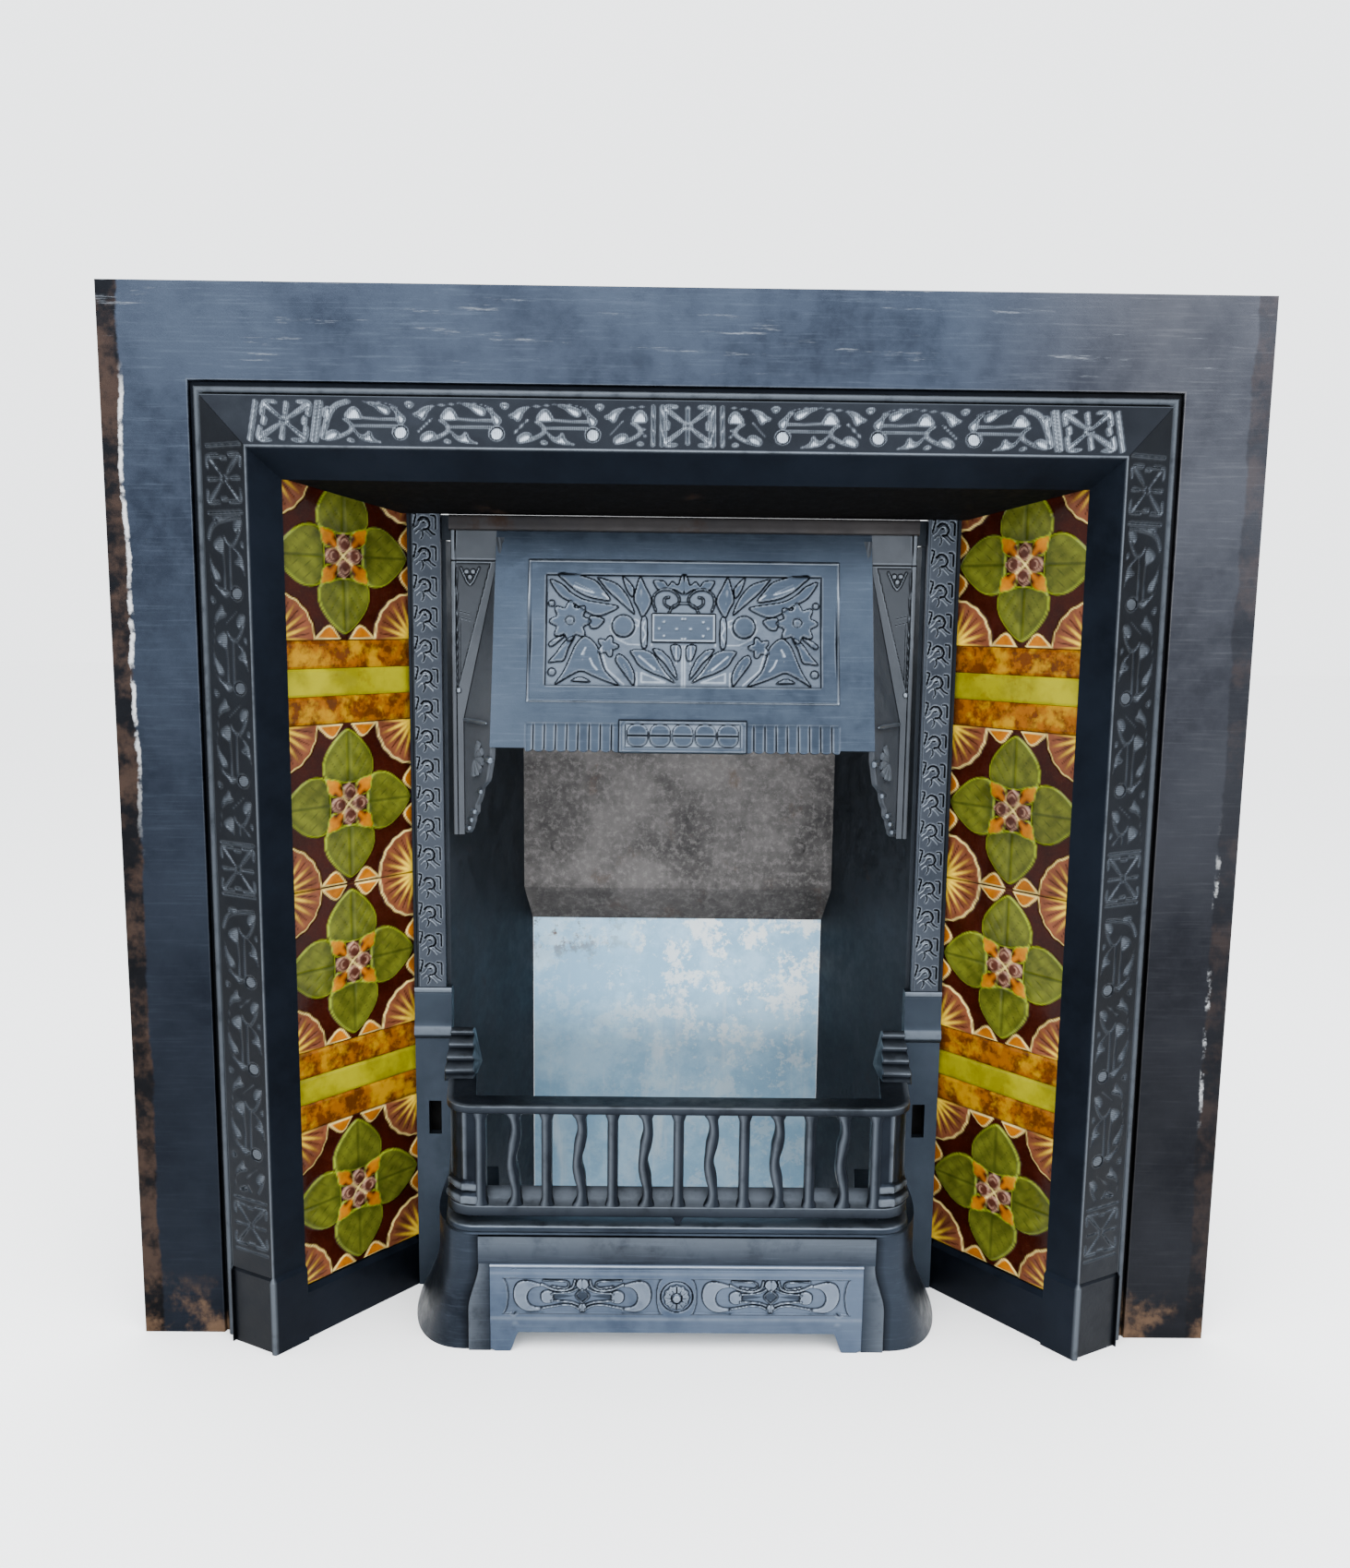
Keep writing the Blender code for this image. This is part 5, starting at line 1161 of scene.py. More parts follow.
def hood_panel():
    """Leaning front of the hood with its plant relief, fillet line and fringe."""
    face = plane((0, JAMB_FRONT - HOOD_PROUD, HOOD_BOTTOM), (1, 0, 0), (0, HOOD_PROUD, HOOD_DROP))
    rise = math.hypot(HOOD_PROUD, HOOD_DROP)
    step = 0.00095
    cols = int(round(2 * HOOD_HALF_BOTTOM / step))
    rows = int(round((rise + FRINGE_DROP) / step))
    share = np.linspace(-1, 1, cols)[None, :]
    b = np.linspace(-FRINGE_DROP, rise, rows)[:, None]
    half = HOOD_HALF_BOTTOM + (HOOD_HALF_TOP - HOOD_HALF_BOTTOM) * b / rise
    a = share * half
    b = np.broadcast_to(b, a.shape).copy()
    across = np.abs(a)
    left = -across
    tongue = np.abs(np.sin((across - FRINGE_START) / FRINGE_PITCH * math.pi))
    fringe = (across > FRINGE_START) & (across < FRINGE_END)
    bottom = np.where(fringe, -0.0008 - 0.0034 * np.sqrt(tongue), -0.001)
    bottom = np.where(across < CARD_HALF, -0.0048, bottom)
    bend = 0.012
    b = np.where(b < bend, bottom + (b + FRINGE_DROP) * (bend - bottom) / (bend + FRINGE_DROP), b)
    relief = Relief(a, b)
    ground = to_block(across, b - 0.111, 0.13, 0.053)
    relief.cut(ground, 0.0024, 0.0009)
    # The sunk ground is lightened as rubbed iron and painted highlight.
    relief.shine(HOOD_SILVER * eased(-ground / 0.0009))

    def leaf(points, spine=True):
        outline = drawn(curve(points, 4, True))
        relief.lift(to_shape(outline, left, b), 0.0022, 0.0008, edge=1.0)
        if spine:
            tip, base = drawn([points[0], points[len(points) // 2]])
            middle = tip * 0.5 + base * 0.5
            line = to_line([tip * 0.35 + middle * 0.65, base * 0.35 + middle * 0.65], left, b)
            relief.cut(line - 0.0004, 0.0008, 0.0005, bright=0.8)

    def disc(centre, radius, tall, lobes=0, ripple=0.0):
        middle = drawn([centre])[0]
        dx = left - middle[0]
        dy = b - middle[1]
        size = radius * 0.000218
        away = np.hypot(dx, dy) - size * (1 + ripple * np.cos(lobes * np.arctan2(dy, dx)))
        relief.lift(away, tall, 0.0009, edge=1.0, swell=0.0005)
        return np.hypot(dx, dy) - size

    for points in HOOD_LEAVES:
        leaf(points)
    for points in HOOD_PLAIN:
        leaf(points, False)
    disc((325, 385), 78, 0.0022, 8, 0.17)
    ring = disc((325, 382), 20, 0.0006)
    relief.cut(np.abs(ring) - 0.0005, 0.0008, 0.0005, bright=0.9)
    disc((490, 490), 40, 0.002, 5, 0.24)
    fruit = disc((560, 402), 50, 0.0026)
    relief.shine(0.9 * eased(1 - np.abs(fruit - 0.0016) / 0.0009) * (b < 0.117))
    disc((245, 308), 15, 0.0018)
    disc((240, 603), 18, 0.0018)
    for line, half_width in HOOD_LINES:
        away = to_line(drawn(curve(line, 5)), left, b) - half_width
        relief.lift(away, 0.002, 0.0007, bright=0.25, edge=1.0)
    # Light lines of rubbed iron and painted highlight.
    for line in HOOD_BRIGHT:
        near = to_line(drawn(line), left, b)
        relief.shine(0.95 * eased(1.4 - near / 0.0008))
    relief.lift(to_block(across, b - 0.1142, 0.0305, 0.014), 0.0022, 0.0009, edge=1.0)
    rim = to_block(across, b - 0.1142, 0.0288, 0.0123)
    relief.shine(0.8 * eased(1.4 - np.abs(rim) / 0.0006))
    for x, y in HOOD_STUDS:
        spot = drawn([(x, y)])[0]
        near = np.hypot(left - spot[0], b - spot[1])
        relief.lift(near - 0.0014, 0.0008, 0.0008, bright=0.85)
    fillet = np.abs(to_block(across, b - 0.11, 0.146, 0.067))
    relief.lift(fillet - 0.001, 0.001, 0.0008, bright=0.62)
    inner = to_block(across, b - 0.11, 0.144, 0.065)
    relief.cut(np.abs(inner) - 0.0004, 0.001, 0.0005, painted_shade=0.9)
    # Painted shadow line round the sunk ground.
    relief.shade(0.9 * eased(1.3 - np.abs(ground) / 0.0006))
    band = eased((across - FRINGE_START) / 0.001) * eased((FRINGE_END - across) / 0.001)
    band *= eased((0.0225 - b) / 0.0015)
    seam = tongue * FRINGE_PITCH / math.pi
    relief.height -= 0.001 * band * (1 - eased(seam / 0.0012))
    # Painted highlight beside each seam of the fringe and painted shade in the seams.
    relief.shine(0.2 * band * eased(1.2 - np.abs(seam - 0.0008) / 0.0006))
    relief.shade(0.95 * band * eased(1.2 - seam / 0.0005))
    relief.height -= 0.0006 * band
    relief.lift(to_block(across, b - 0.0105, CARD_HALF, 0.0156), 0.0026, 0.001, edge=0.9)
    relief.cut(to_block(across, b - 0.0115, 0.054, 0.0112), -0.0012, 0.0008, bright=0.45)
    for k in range(5):
        wide, high = (a - (k - 2) * 0.0212) / 0.01, (b - 0.0115) / 0.0108
        lobe = (np.abs(wide) ** 2.6 + np.abs(high) ** 2.6 - 1) * 0.005
        relief.lift(lobe, 0.0012, 0.001, edge=1.0)
        seam = np.maximum(np.abs(b - 0.0113) - 0.0003, lobe + 0.0008)
        relief.cut(seam, 0.0, 0.0004, painted_shade=0.9)
    relief.edge_wear_and_shade(step, 0.3)
    return panel("hood_front", face, relief, CANOPY_WALL, "hood", "canopy")


BEADS = ((0.6, 0.0465), (0.36, 0.0255), (0.24, 0.0165), (0.15, 0.008))


def splayed_wall(side, word):
    """Smooth side of the hood, from the wing's slanted edge to the leaning front, with its bracket."""
    root_low = CANOPY_HALF - 0.0106
    foot = BRACKET_FOOT + 0.002
    upper = np.linspace(HOOD_BOTTOM + 0.004, HOOD_TOP - 0.007, 26)
    heights = np.concatenate([np.linspace(foot, HOOD_BOTTOM, 40), upper])
    steps = np.array(BRACKET_STEPS)
    rings = []
    for z in heights:
        rise = np.clip((z - WING_LOW) / (HOOD_TOP - WING_LOW), 0, 1)
        root = np.array((root_low + (HOOD_HALF_TOP - 0.0055 - root_low) * rise, JAMB_FRONT + 0.003))
        lean = np.clip((HOOD_TOP - z) / HOOD_DROP, 0, 1)
        tip = np.array((HOOD_HALF_BOTTOM - 0.001, JAMB_FRONT - HOOD_PROUD * lean + 0.001))
        if z < HOOD_BOTTOM:
            reach = np.interp(z - BRACKET_FOOT, steps[:, 1], steps[:, 0])
            tip = root + (tip - root) * max(reach, 0.06)
        run = (tip - root) / np.linalg.norm(tip - root)
        out = np.array((-run[1], run[0]))
        wall, soft = out * CANOPY_WALL, 0.0012
        back = tip - wall
        ring = [root, tip - run * soft, tip - out * soft, back + out * soft, back - run * soft, root - wall]
        rings.append([(side * x, y, z) for x, y in ring])
    loft(f"{word}_hood_side", rings, "side", "canopy", angle=30)
    low_tip = np.array((HOOD_HALF_BOTTOM, JAMB_FRONT - HOOD_PROUD, 0))
    root = np.array((root_low, JAMB_FRONT, 0))
    reach = np.linalg.norm(low_tip - root)
    run = (low_tip - root) / reach
    face = Plane(root * (side, 1, 1) + (0, PLATE_Y, 0), run * (side, 1, 1), np.array((0.0, 0.0, 1.0)),
                 np.array((-run[1] * side, run[0], 0)))

    def oval(centre, across, width, height, count):
        """Ring of places round a centre on the wall."""
        turns = 2 * np.pi * np.arange(count) / count
        x, y = centre[:, None] + across[:, None] * width * np.cos(turns)
        return on(face, x, y, height * np.sin(turns)) - (0, PLATE_Y, 0)

    def roll(name, start, end, z, radius, bright=0.5):
        """Small rounded bead lying level on the wall between two places along it, lightened as rubbed iron
        and painted highlight.
        """
        rings = []
        for t, size in ((0, 0.35), (0.06, 0.8), (0.2, 1.0), (0.5, 1.0), (0.8, 1.0), (0.94, 0.8), (1, 0.35)):
            centre = np.array((start + (end - start) * t, z))
            rings.append(oval(centre, np.array((0, 1)), radius * size, radius * size, 10))
        loft(name, rings, "hood", "canopy", {"bright": np.full(70, bright)})

    roll(f"{word}_bead", 0.001, reach * 0.88, WING_LOW - 0.0002, 0.0021, 0.7)
    roll(f"{word}_knob", reach * 0.86, reach * 1.05, HOOD_BOTTOM - 0.0135, 0.0036)
    for k, (along, rise) in enumerate(BEADS):
        middle = reach * along
        roll(f"{word}_step_{k + 1}", middle - 0.0035, middle + 0.005, BRACKET_FOOT + rise, 0.0026)
    hub = np.array((reach * 0.42, BRACKET_FOOT + 0.078))
    for k in range(6):
        angle = math.radians(-100 + 31 * k)
        tip = hub + 0.018 * np.array((math.cos(angle), math.sin(angle)))
        across = np.array((-math.sin(angle), math.cos(angle)))
        rings = []
        for t in np.linspace(0.12, 1.0, 8):
            width = 0.0007 + 0.0046 * math.sin(math.pi * min(t, 0.96) * 0.8) * t
            rings.append(oval(hub + (tip - hub) * t, across, width, 0.0018 * min(1, t * 2), 8))
        loft(f"{word}_shell_{k + 1}", rings, "side", "canopy", {"bright": np.full(64, 0.18)})


def wing(side, word):
    """Upright beside the hood, with a plain block over a sunk triangle."""
    face = plane((0, JAMB_FRONT, 0), (1, 0, 0), (0, 0, 1))
    step = 0.0009
    rows = int(round((HOOD_TOP - BRACKET_FOOT) / step))
    z = np.linspace(BRACKET_FOOT, HOOD_TOP + 0.0008, rows)[:, None]
    edge = CANOPY_HALF - 0.0006
    rise = np.clip((z - WING_LOW) / (HOOD_TOP - WING_LOW), 0, 1)
    inner = (edge - 0.0105) + (HOOD_HALF_TOP - 0.006 - edge + 0.0105) * rise
    x = inner + (edge - inner) * np.linspace(0, 1, 54)[None, :]
    z = np.broadcast_to(z, x.shape).copy()
    relief = Relief(x * side, z)
    px = edge - x
    relief.cut(np.abs(z - 0.7355) - 0.0008, 0.0012, 0.0006, painted_shade=1.0)
    top, low = 0.7325, 0.614
    triangle = to_shape([(0.0058, top), (0.0375, top), (0.0058, low)], px, z)
    relief.cut(triangle, 0.0016, 0.0008, painted_shade=0.3)
    relief.cut(np.abs(triangle) - 0.0004, 0.0016, 0.0005, painted_shade=0.9)
    trefoil = curve([(0.0095, top - 0.004), (0.018, top - 0.02), (0.027, top - 0.004)], 3)
    relief.lift(to_line(trefoil, px, z) - 0.0012, 0.0014, 0.0008, bright=0.35, edge=0.9)
    for cx, cz in ((0.015, top - 0.0075), (0.021, top - 0.0075), (0.018, top - 0.0125)):
        relief.lift(np.hypot(px - cx, z - cz) - 0.0026, 0.0014, 0.0008, bright=0.25, edge=0.9)
    for cz in (top - 0.046, top - 0.052):
        bar = np.maximum(np.abs(z - cz + (px - 0.012) * 0.25) - 0.0005, np.abs(px - 0.0125) - 0.0062)
        relief.cut(bar, 0.0022, 0.0005, painted_shade=0.9)
    stem = to_line([(0.0085, top - 0.052), (0.008, low + 0.012)], px, z)
    relief.cut(stem - 0.0005, 0.0022, 0.0005, painted_shade=0.9)
    relief.lift(np.hypot(px - 0.0062, z - low + 0.002) - 0.003, 0.0018, 0.001, bright=0.8)
    relief.cut(np.abs(px - 0.0046) - 0.0005, 0.0012, 0.0005, painted_shade=1.0)
    swell = eased(1 - np.abs(z - 0.66) / 0.034)
    relief.height += 0.001 * np.sqrt(np.clip(1 - ((px - 0.0022) / 0.0022) ** 2, 0, 1)) * (1 + 0.8 * swell)
    # Painted highlight on the swelling roll beside the edge.
    relief.shine(0.25 * swell * eased(1 - px / 0.0045))
    relief.edge_wear_and_shade(step, 0.35)
    panel(f"{word}_wing", face, relief, CANOPY_WALL, "wing", "canopy")


def canopy():
    """Rail, hood, wings and shell brackets."""
    hood_panel()
    profile = curve([(0.0074, HOOD_TOP - 0.0008), (-0.003, HOOD_TOP - 0.0006), (-0.0056, HOOD_TOP + 0.0018),
                     (-0.0058, HOOD_TOP + 0.007), (-0.0054, HOOD_TOP + 0.012), (-0.0034, CANOPY_TOP - 0.0004),
                     (0.0074, CANOPY_TOP)], 3)
    rings = [[(x, JAMB_FRONT + y, z) for y, z in profile] for x in (-CANOPY_HALF, CANOPY_HALF)]
    loft("hood_rail", rings, "rail", "canopy")
    wall_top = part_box("left_firebox_wall")[1].z
    back = JAMB_FRONT + JAMB_THICKNESS + GAP
    for side, word in SIDES:
        wing(side, word)
        splayed_wall(side, word)
        x0, x1 = sorted((side * (CANOPY_HALF - 0.02), side * (OPENING_HALF + 0.01)))
        lug = ((x0, back, wall_top + GAP), (x1, back + 0.006, CANOPY_TOP + 0.0002))
        block_piece(f"{word}_lug", [lug], "box", "canopy", bevel=0)


# Grate

def plan_path(inset, steps=10):
    """Half of the grate's plan from the middle of the corner's start to the jamb, moved in by inset."""
    centre = np.array((FRONT_HALF, -LEDGE_PROUD + CORNER_RADIUS))
    angles = -math.pi / 2 + (math.pi / 2 - SIDE_FLARE) * np.linspace(0, 1, steps + 1)
    points = centre + (CORNER_RADIUS - inset) * np.stack([np.cos(angles), np.sin(angles)], -1)
    x, y = points[-1]
    return np.vstack([points, (x + (GRATE_BACK - y) * math.tan(SIDE_FLARE), GRATE_BACK)])


def whole_path(steps=10):
    """Grate's outer edge in plan from the left jamb to the right one, with outward normals."""
    right = plan_path(0, steps)
    left = right[::-1] * (-1, 1)
    path = np.vstack([left, [(0, -LEDGE_PROUD)], right])
    angles = -math.pi / 2 + (math.pi / 2 - SIDE_FLARE) * np.linspace(0, 1, steps + 1)
    normal = np.stack([np.cos(angles), np.sin(angles)], -1)
    normal = np.vstack([normal, normal[-1]])
    normals = np.vstack([normal[::-1] * (-1, 1), [(0, -1)], normal])
    return path, normals


def swept(name, profile, look, node, rub_and_highlight):
    """Section of inset and height carried round the grate's plan."""
    rings = []
    for point, normal in zip(*whole_path()):
        ring = []
        for inset, z in profile:
            x, y = point - normal * inset
            ring.append((x, min(y, GRATE_BACK), z))
        rings.append(ring)
    return loft(name, rings, look, node, {"bright": np.tile(rub_and_highlight, len(rings))})


def grate_bar(name, centre, wavy):
    """Upright bar with a rounded front; a wavy one has knuckles."""
    low = GRATE_BASE + GRATE_FOOT + 0.0092
    high = GRATE_TOP - 0.007
    back = -LEDGE_PROUD + GRATE_SETBACK + 0.0006
    rings, rubs_and_highlights = [], []
    for t in np.linspace(0, 1, 40 if wavy else 14):
        z = low + (high - low) * t
        x = centre
        half = 0.0048
        if wavy:
            swing = math.sin(2 * math.pi * (1.45 * t + 0.05))
            x += 0.0021 * swing * abs(swing) ** 0.3
            half = 0.0049 + 0.0006 * math.cos(5.8 * math.pi * t)
        half += 0.0026 * (eased(1 - t / 0.07) + eased(1 - (1 - t) / 0.06))
        ring = [(x - half, back + BAR_DEPTH, z)]
        for k in range(9):
            angle = math.pi * k / 8
            ring.append((x - half * math.cos(angle), back + 0.003 - 0.003 * math.sin(angle) ** 0.6, z))
        ring.append((x + half, back + BAR_DEPTH, z))
        rings.append(ring)
        # Painted highlight down the middle of the rounded front.
        rubs_and_highlights += [0.0] * 3 + [0.12, 0.3, 0.12] + [0.0] * 5
    return loft(name, rings, "grate", "grate_front", attributes={"bright": np.array(rubs_and_highlights)})


HORN_LEAN = 0.0125
HORN_STEP = ((0.0005, 0.05), (0.0026, 0.18), (0.0026, 0.34), (0.0006, 0.48), (0.0008, 0.7),
             (HORN_LEAN * 0.45, 0.9))


def grate_side(side, word):
    """Curved flank of the grate with its foot mouldings, toe and fluted horn."""
    s = GRATE_SETBACK
    top = GRATE_TOP
    rail_low = GRATE_BASE + GRATE_FOOT
    path = plan_path(0)
    angles = -math.pi / 2 + (math.pi / 2 - SIDE_FLARE) * np.linspace(0, 1, len(path) - 1)
    normals = np.stack([np.cos(angles), np.sin(angles)], -1)
    normals = np.vstack([[(0, -1)], normals, normals[-1:]])
    path = np.vstack([[(FRONT_HALF - 0.008, -LEDGE_PROUD)], path])
    upper = np.linspace(0.182, top - 0.001, 12)
    heights = np.concatenate([np.linspace(rail_low + 0.001, rail_low + 0.036, 26), upper])
    rings, rubs_and_highlights = [], []
    for k, (point, normal) in enumerate(zip(path, normals)):
        outer, inner, rub_and_highlight = [], [], []
        for z in heights:
            rise = z - rail_low
            bulge = 0.0
            for middle, radius, proud in ((0.015, 0.006, 0.005), (0.0268, 0.0048, 0.0032)):
                bulge = max(bulge, proud * math.sqrt(max(0.0, 1 - ((rise - middle) / radius) ** 2)))
            bulge *= 0.0 if k == 0 else 1.0
            rib = 0.0016 if k in (4, 10) else 0.0
            x, y = point - normal * (s + 0.0046 - bulge - rib)
            outer.append((side * x, min(y, GRATE_BACK), z))
            x, y = point - normal * (s + 0.01)
            inner.append((side * x, min(y, GRATE_BACK), z))
            # Painted highlights on the crowns of the foot mouldings and on the upper part of the ribs.
            shine = 0.42 if bulge > 0.0042 or (0.0022 < bulge < 0.0034 and rise > 0.022) else 0.0
            rub_and_highlight.append(max(shine, 0.38 if rib and rise > 0.034 else 0.0))
        rings.append(outer + inner[::-1])
        rubs_and_highlights.append(rub_and_highlight + [0.0] * len(heights))
    loft(f"grate_{word}_side", rings, "grate", "grate_front", attributes={"bright": np.ravel(rubs_and_highlights)})
    x_back = plan_path(s)[-1][0]
    a, b = sorted((side * (x_back - 0.014), side * (x_back - 0.008)))
    toe = ((a, GRATE_BACK - 0.04, GRATE_BASE), (b, GRATE_BACK - 0.002, rail_low + 0.001))
    block_piece(f"grate_{word}_toe", [toe], "grate", "grate_front")
    outline = [(GRATE_BACK - 0.0002, top - 0.0012), (GRATE_BACK - 0.0002, top + HORN_HEIGHT - 0.0012),
               (GRATE_BACK - 0.005, top + HORN_HEIGHT)]
    step = HORN_HEIGHT / 4
    for k in range(4):
        z = top + HORN_HEIGHT - step * k
        y = GRATE_BACK - 0.01 - HORN_LEAN * k
        outline += [(y - back, z - step * down) for back, down in HORN_STEP]
    outline += [(GRATE_BACK - 0.0565, top - 0.0012)]
    outer_x = OPENING_HALF - JAMB_FOOT_INSET - GAP
    rings = []
    for share in (0.0, 0.03, 0.5, 0.97, 1.0):
        inset = 0.0009 if share in (0.0, 1.0) else 0.0
        ring = []
        for y, z in outline:
            inner_x = outer_x - 0.0225 - 0.007 * min(1.0, (top + HORN_HEIGHT - z) / HORN_HEIGHT)
            limit = plan_path(s)[-1][0] - (GRATE_BACK - y) * math.tan(SIDE_FLARE)
            x = inner_x + (min(outer_x, limit + 0.004) - inner_x) * share
            ring.append((side * x, min(y + inset, GRATE_BACK - 0.0002), z - inset))
        rings.append(ring)
    # Painted highlights along the noses of the horn's steps.
    rub_and_highlight = [0.0, 0.0, 0.1] + [0.25, 0.5, 0.5, 0.1, 0.0, 0.1] * 4 + [0.0]
    loft(f"grate_{word}_horn", rings, "grate", "grate_front", {"bright": np.array(rub_and_highlight * 5)}, 45)


def grate():
    """Barred front with rails, canted sides, mouldings and horns."""
    top = GRATE_TOP
    rail_low = GRATE_BASE + GRATE_FOOT
    s = GRATE_SETBACK
    profile = [(0.0268, -0.0072), (0.001, -0.0072), (0.0001, -0.0064), (0, -0.0012), (0.0003, -0.0004),
               (0.0012, 0), (0.006, 0), (0.0268, 0)]
    profile = [(s + inset, top + z) for inset, z in profile]
    # Painted highlights along the rounded edges of the top and lower rails.
    swept("grate_top_rail", profile, "grate", "grate_front", (0, 0, 0, 0.1, 0.55, 0.45, 0, 0))
    high = rail_low + 0.01
    profile = [(s + 0.0198, rail_low), (s + 0.001, rail_low), (s + 0.0001, rail_low + 0.001)]
    profile += [(s + inset, high + z) for inset, z in (
        (0.0001, -0.0014), (0.0006, -0.0003), (0.0016, 0), (0.005, 0.0006), (0.01, 0.0034), (0.015, 0.0076),
        (0.0198, 0.011))]
    swept("grate_lower_rail", profile, "grate", "grate_front", (0, 0, 0, 0.1, 0.5, 0.3, 0.25, 0.25, 0.2, 0.1))
    spread = FRONT_HALF - BAR_WIDTH / 2
    for k in range(BAR_COUNT):
        centre = -spread + 2 * spread * k / (BAR_COUNT - 1)
        grate_bar(f"grate_bar_{k + 1}", centre, k % 2 == 1)
    face = plane((0, -LEDGE_PROUD + GRATE_SETBACK + 0.0012, 0), (1, 0, 0), (0, 0, 1))
    half_foot = [(0.0022, GRATE_BASE), (0.003, GRATE_BASE + 0.004), (0.0064, rail_low + 0.001)]
    foot = [(-0.0022, GRATE_BASE)] + half_foot + [(-0.0064, rail_low + 0.001), (-0.003, GRATE_BASE + 0.004)]
    outline_piece("grate_foot", foot, face, -BAR_DEPTH, 0.0004, "grate", "grate_front")
    for side, word in SIDES:
        grate_side(side, word)


def bell(z):
    """Share of the base's flare at a height."""
    return 0.0 if z >= BASE_BELL else (1 - z / BASE_BELL) ** 1.6


def base_section(z, side):
    """Plan of one base cheek at a height: a narrow pilaster, a step and the bell-shaped flank."""
    flare = bell(z)
    front = -LEDGE_PROUD + PILASTER_BACKSET
    inner_x = COVER_HALF + GAP
    width = 0.0107 + 0.0098 * float(eased((0.086 - z) / 0.046))
    edge = np.array((inner_x + width, front + 0.0024))
    end = np.array((plan_path(0)[-1][0] + 0.001 + BASE_FLARE * flare, GRATE_BACK))
    power = 2 / (3.4 - 0.9 * flare)
    t = np.linspace(0, math.pi / 2, 25)
    outer_x = edge[0] + (end[0] - edge[0]) * np.sin(t) ** power
    outer_y = end[1] + (edge[1] - end[1]) * np.cos(t) ** power
    outer = np.stack([outer_x, outer_y], -1)
    inner = outer[2:-1] + (-BASE_WALL * 0.9, BASE_WALL * 0.7)
    inner = np.vstack([[(inner_x, front + BASE_WALL)], inner, [(outer[-1][0] - BASE_WALL * 1.1, GRATE_BACK)]])
    pilaster = [(inner_x, front), (inner_x + width - 0.0006, front), (inner_x + width, front + 0.0006)]
    ring = np.vstack([pilaster, outer, inner[::-1]])
    return [(side * x, min(y, GRATE_BACK), z) for x, y in ring]


def base():
    """Rounded ledge, fascia, pilasters and bell-shaped cheeks."""
    top = LEDGE_TOP
    under = top - LEDGE_THICKNESS
    profile = curve([(0.0498, under), (0.003, under), (0.0006, under + 0.0016), (0.0, under + 0.0042),
                     (0.001, top - 0.001), (0.0034, top)], 3)
    profile = np.vstack([profile, [(0.018, top), (0.0498, top)]])
    # Rubbing and painted highlight along the ledge's rounded top.
    rub_and_highlight = np.array([0.34 if z > top - 0.0016 and i < 0.0182 else 0.0 for i, z in profile])
    swept("base_ledge", profile, "base", "grate_base", rub_and_highlight)
    heights = np.concatenate([np.linspace(0, 0.012, 5), np.linspace(0.016, 0.09, 30), [0.1, under + 0.001]])
    for side, word in SIDES:
        rings = [base_section(z, side) for z in heights]
        count = len(rings[0])
        rub_and_highlight = np.zeros((len(rings), count))
        # Painted highlights on the pilaster's edges and painted shade at its step.
        rub_and_highlight[:, 1:3] = 0.28
        rub_and_highlight[:, 26:28] = 0.45
        dark = np.zeros((len(rings), count))
        dark[:, 3:4] = 0.9
        values = {"bright": rub_and_highlight.ravel(), "painted_shade": dark.ravel()}
        loft(f"base_{word}_cheek", rings, "base", "grate_base", attributes=values, angle=32)
    front = -LEDGE_PROUD + PILASTER_BACKSET - 0.002
    reach = COVER_HALF + 0.0107
    low = COVER_HEIGHT + GAP
    upper = ((0.008, 0.001), (0, 0.0005), (0, -0.0042), (0.0014, -0.0046), (0.0014, -0.0056),
             (-0.0008, -0.0062), (-0.0012, -0.0072))
    lower = ((-0.0013, 0.002), (-0.001, 0), (0.008, 0))
    profile = [(front + y, under + z) for y, z in upper] + [(front + y, low + z) for y, z in lower]
    # Painted highlight on the fascia's bead and painted shade in the quirk under the ledge.
    rub_and_highlight = np.array([0, 0, 0, 0, 0, 0.3, 0.3, 0, 0, 0] * 2)
    dark = np.array([0, 0, 0.4, 1, 1, 0, 0, 0, 0, 0] * 2)
    loft("base_fascia", [[(x, y, z) for y, z in profile] for x in (-reach, reach)], "base", "grate_base",
         attributes={"bright": rub_and_highlight, "painted_shade": dark})


COVER_CENTRE = 0.088
COVER_MIDDLE = 0.0558
COVER_REACH = 0.071
COVER_ALONG = 6250.0
COVER_UP = 5800.0
COVER_BLOBS = (
    [(690, 1142), (740, 1122), (800, 1112), (846, 1130), (864, 1175), (860, 1225), (836, 1262),
     (796, 1286), (740, 1288), (690, 1278), (700, 1266), (742, 1262), (772, 1244), (784, 1210),
     (772, 1174), (742, 1152)],
    [(632, 1180), (668, 1168), (700, 1182), (706, 1206), (698, 1232), (668, 1244), (632, 1230)],
    [(462, 1104), (488, 1108), (500, 1136), (484, 1158), (462, 1168)],
    [(462, 1246), (486, 1256), (480, 1284), (462, 1292)],
)
COVER_RIBBONS = (
    ([(700, 1272), (640, 1262), (580, 1252), (520, 1256), (480, 1276)], 0.001),
    ([(700, 1134), (640, 1160), (570, 1168), (520, 1150), (506, 1112)], 0.0012),
    ([(690, 1112), (620, 1114), (556, 1118), (540, 1136), (556, 1154), (600, 1152), (640, 1146)], 0.0009),
    ([(640, 1186), (580, 1182), (530, 1176), (490, 1158)], 0.001),
    ([(640, 1226), (580, 1232), (530, 1236), (486, 1250)], 0.001),
    ([(462, 1160), (500, 1200), (462, 1240)], 0.0009),
)
COVER_HOLES = (
    [(506, 1200), (540, 1196), (600, 1192), (634, 1198), (634, 1216), (600, 1218), (540, 1210)],
    [(462, 1178), (490, 1200), (462, 1224)],
)


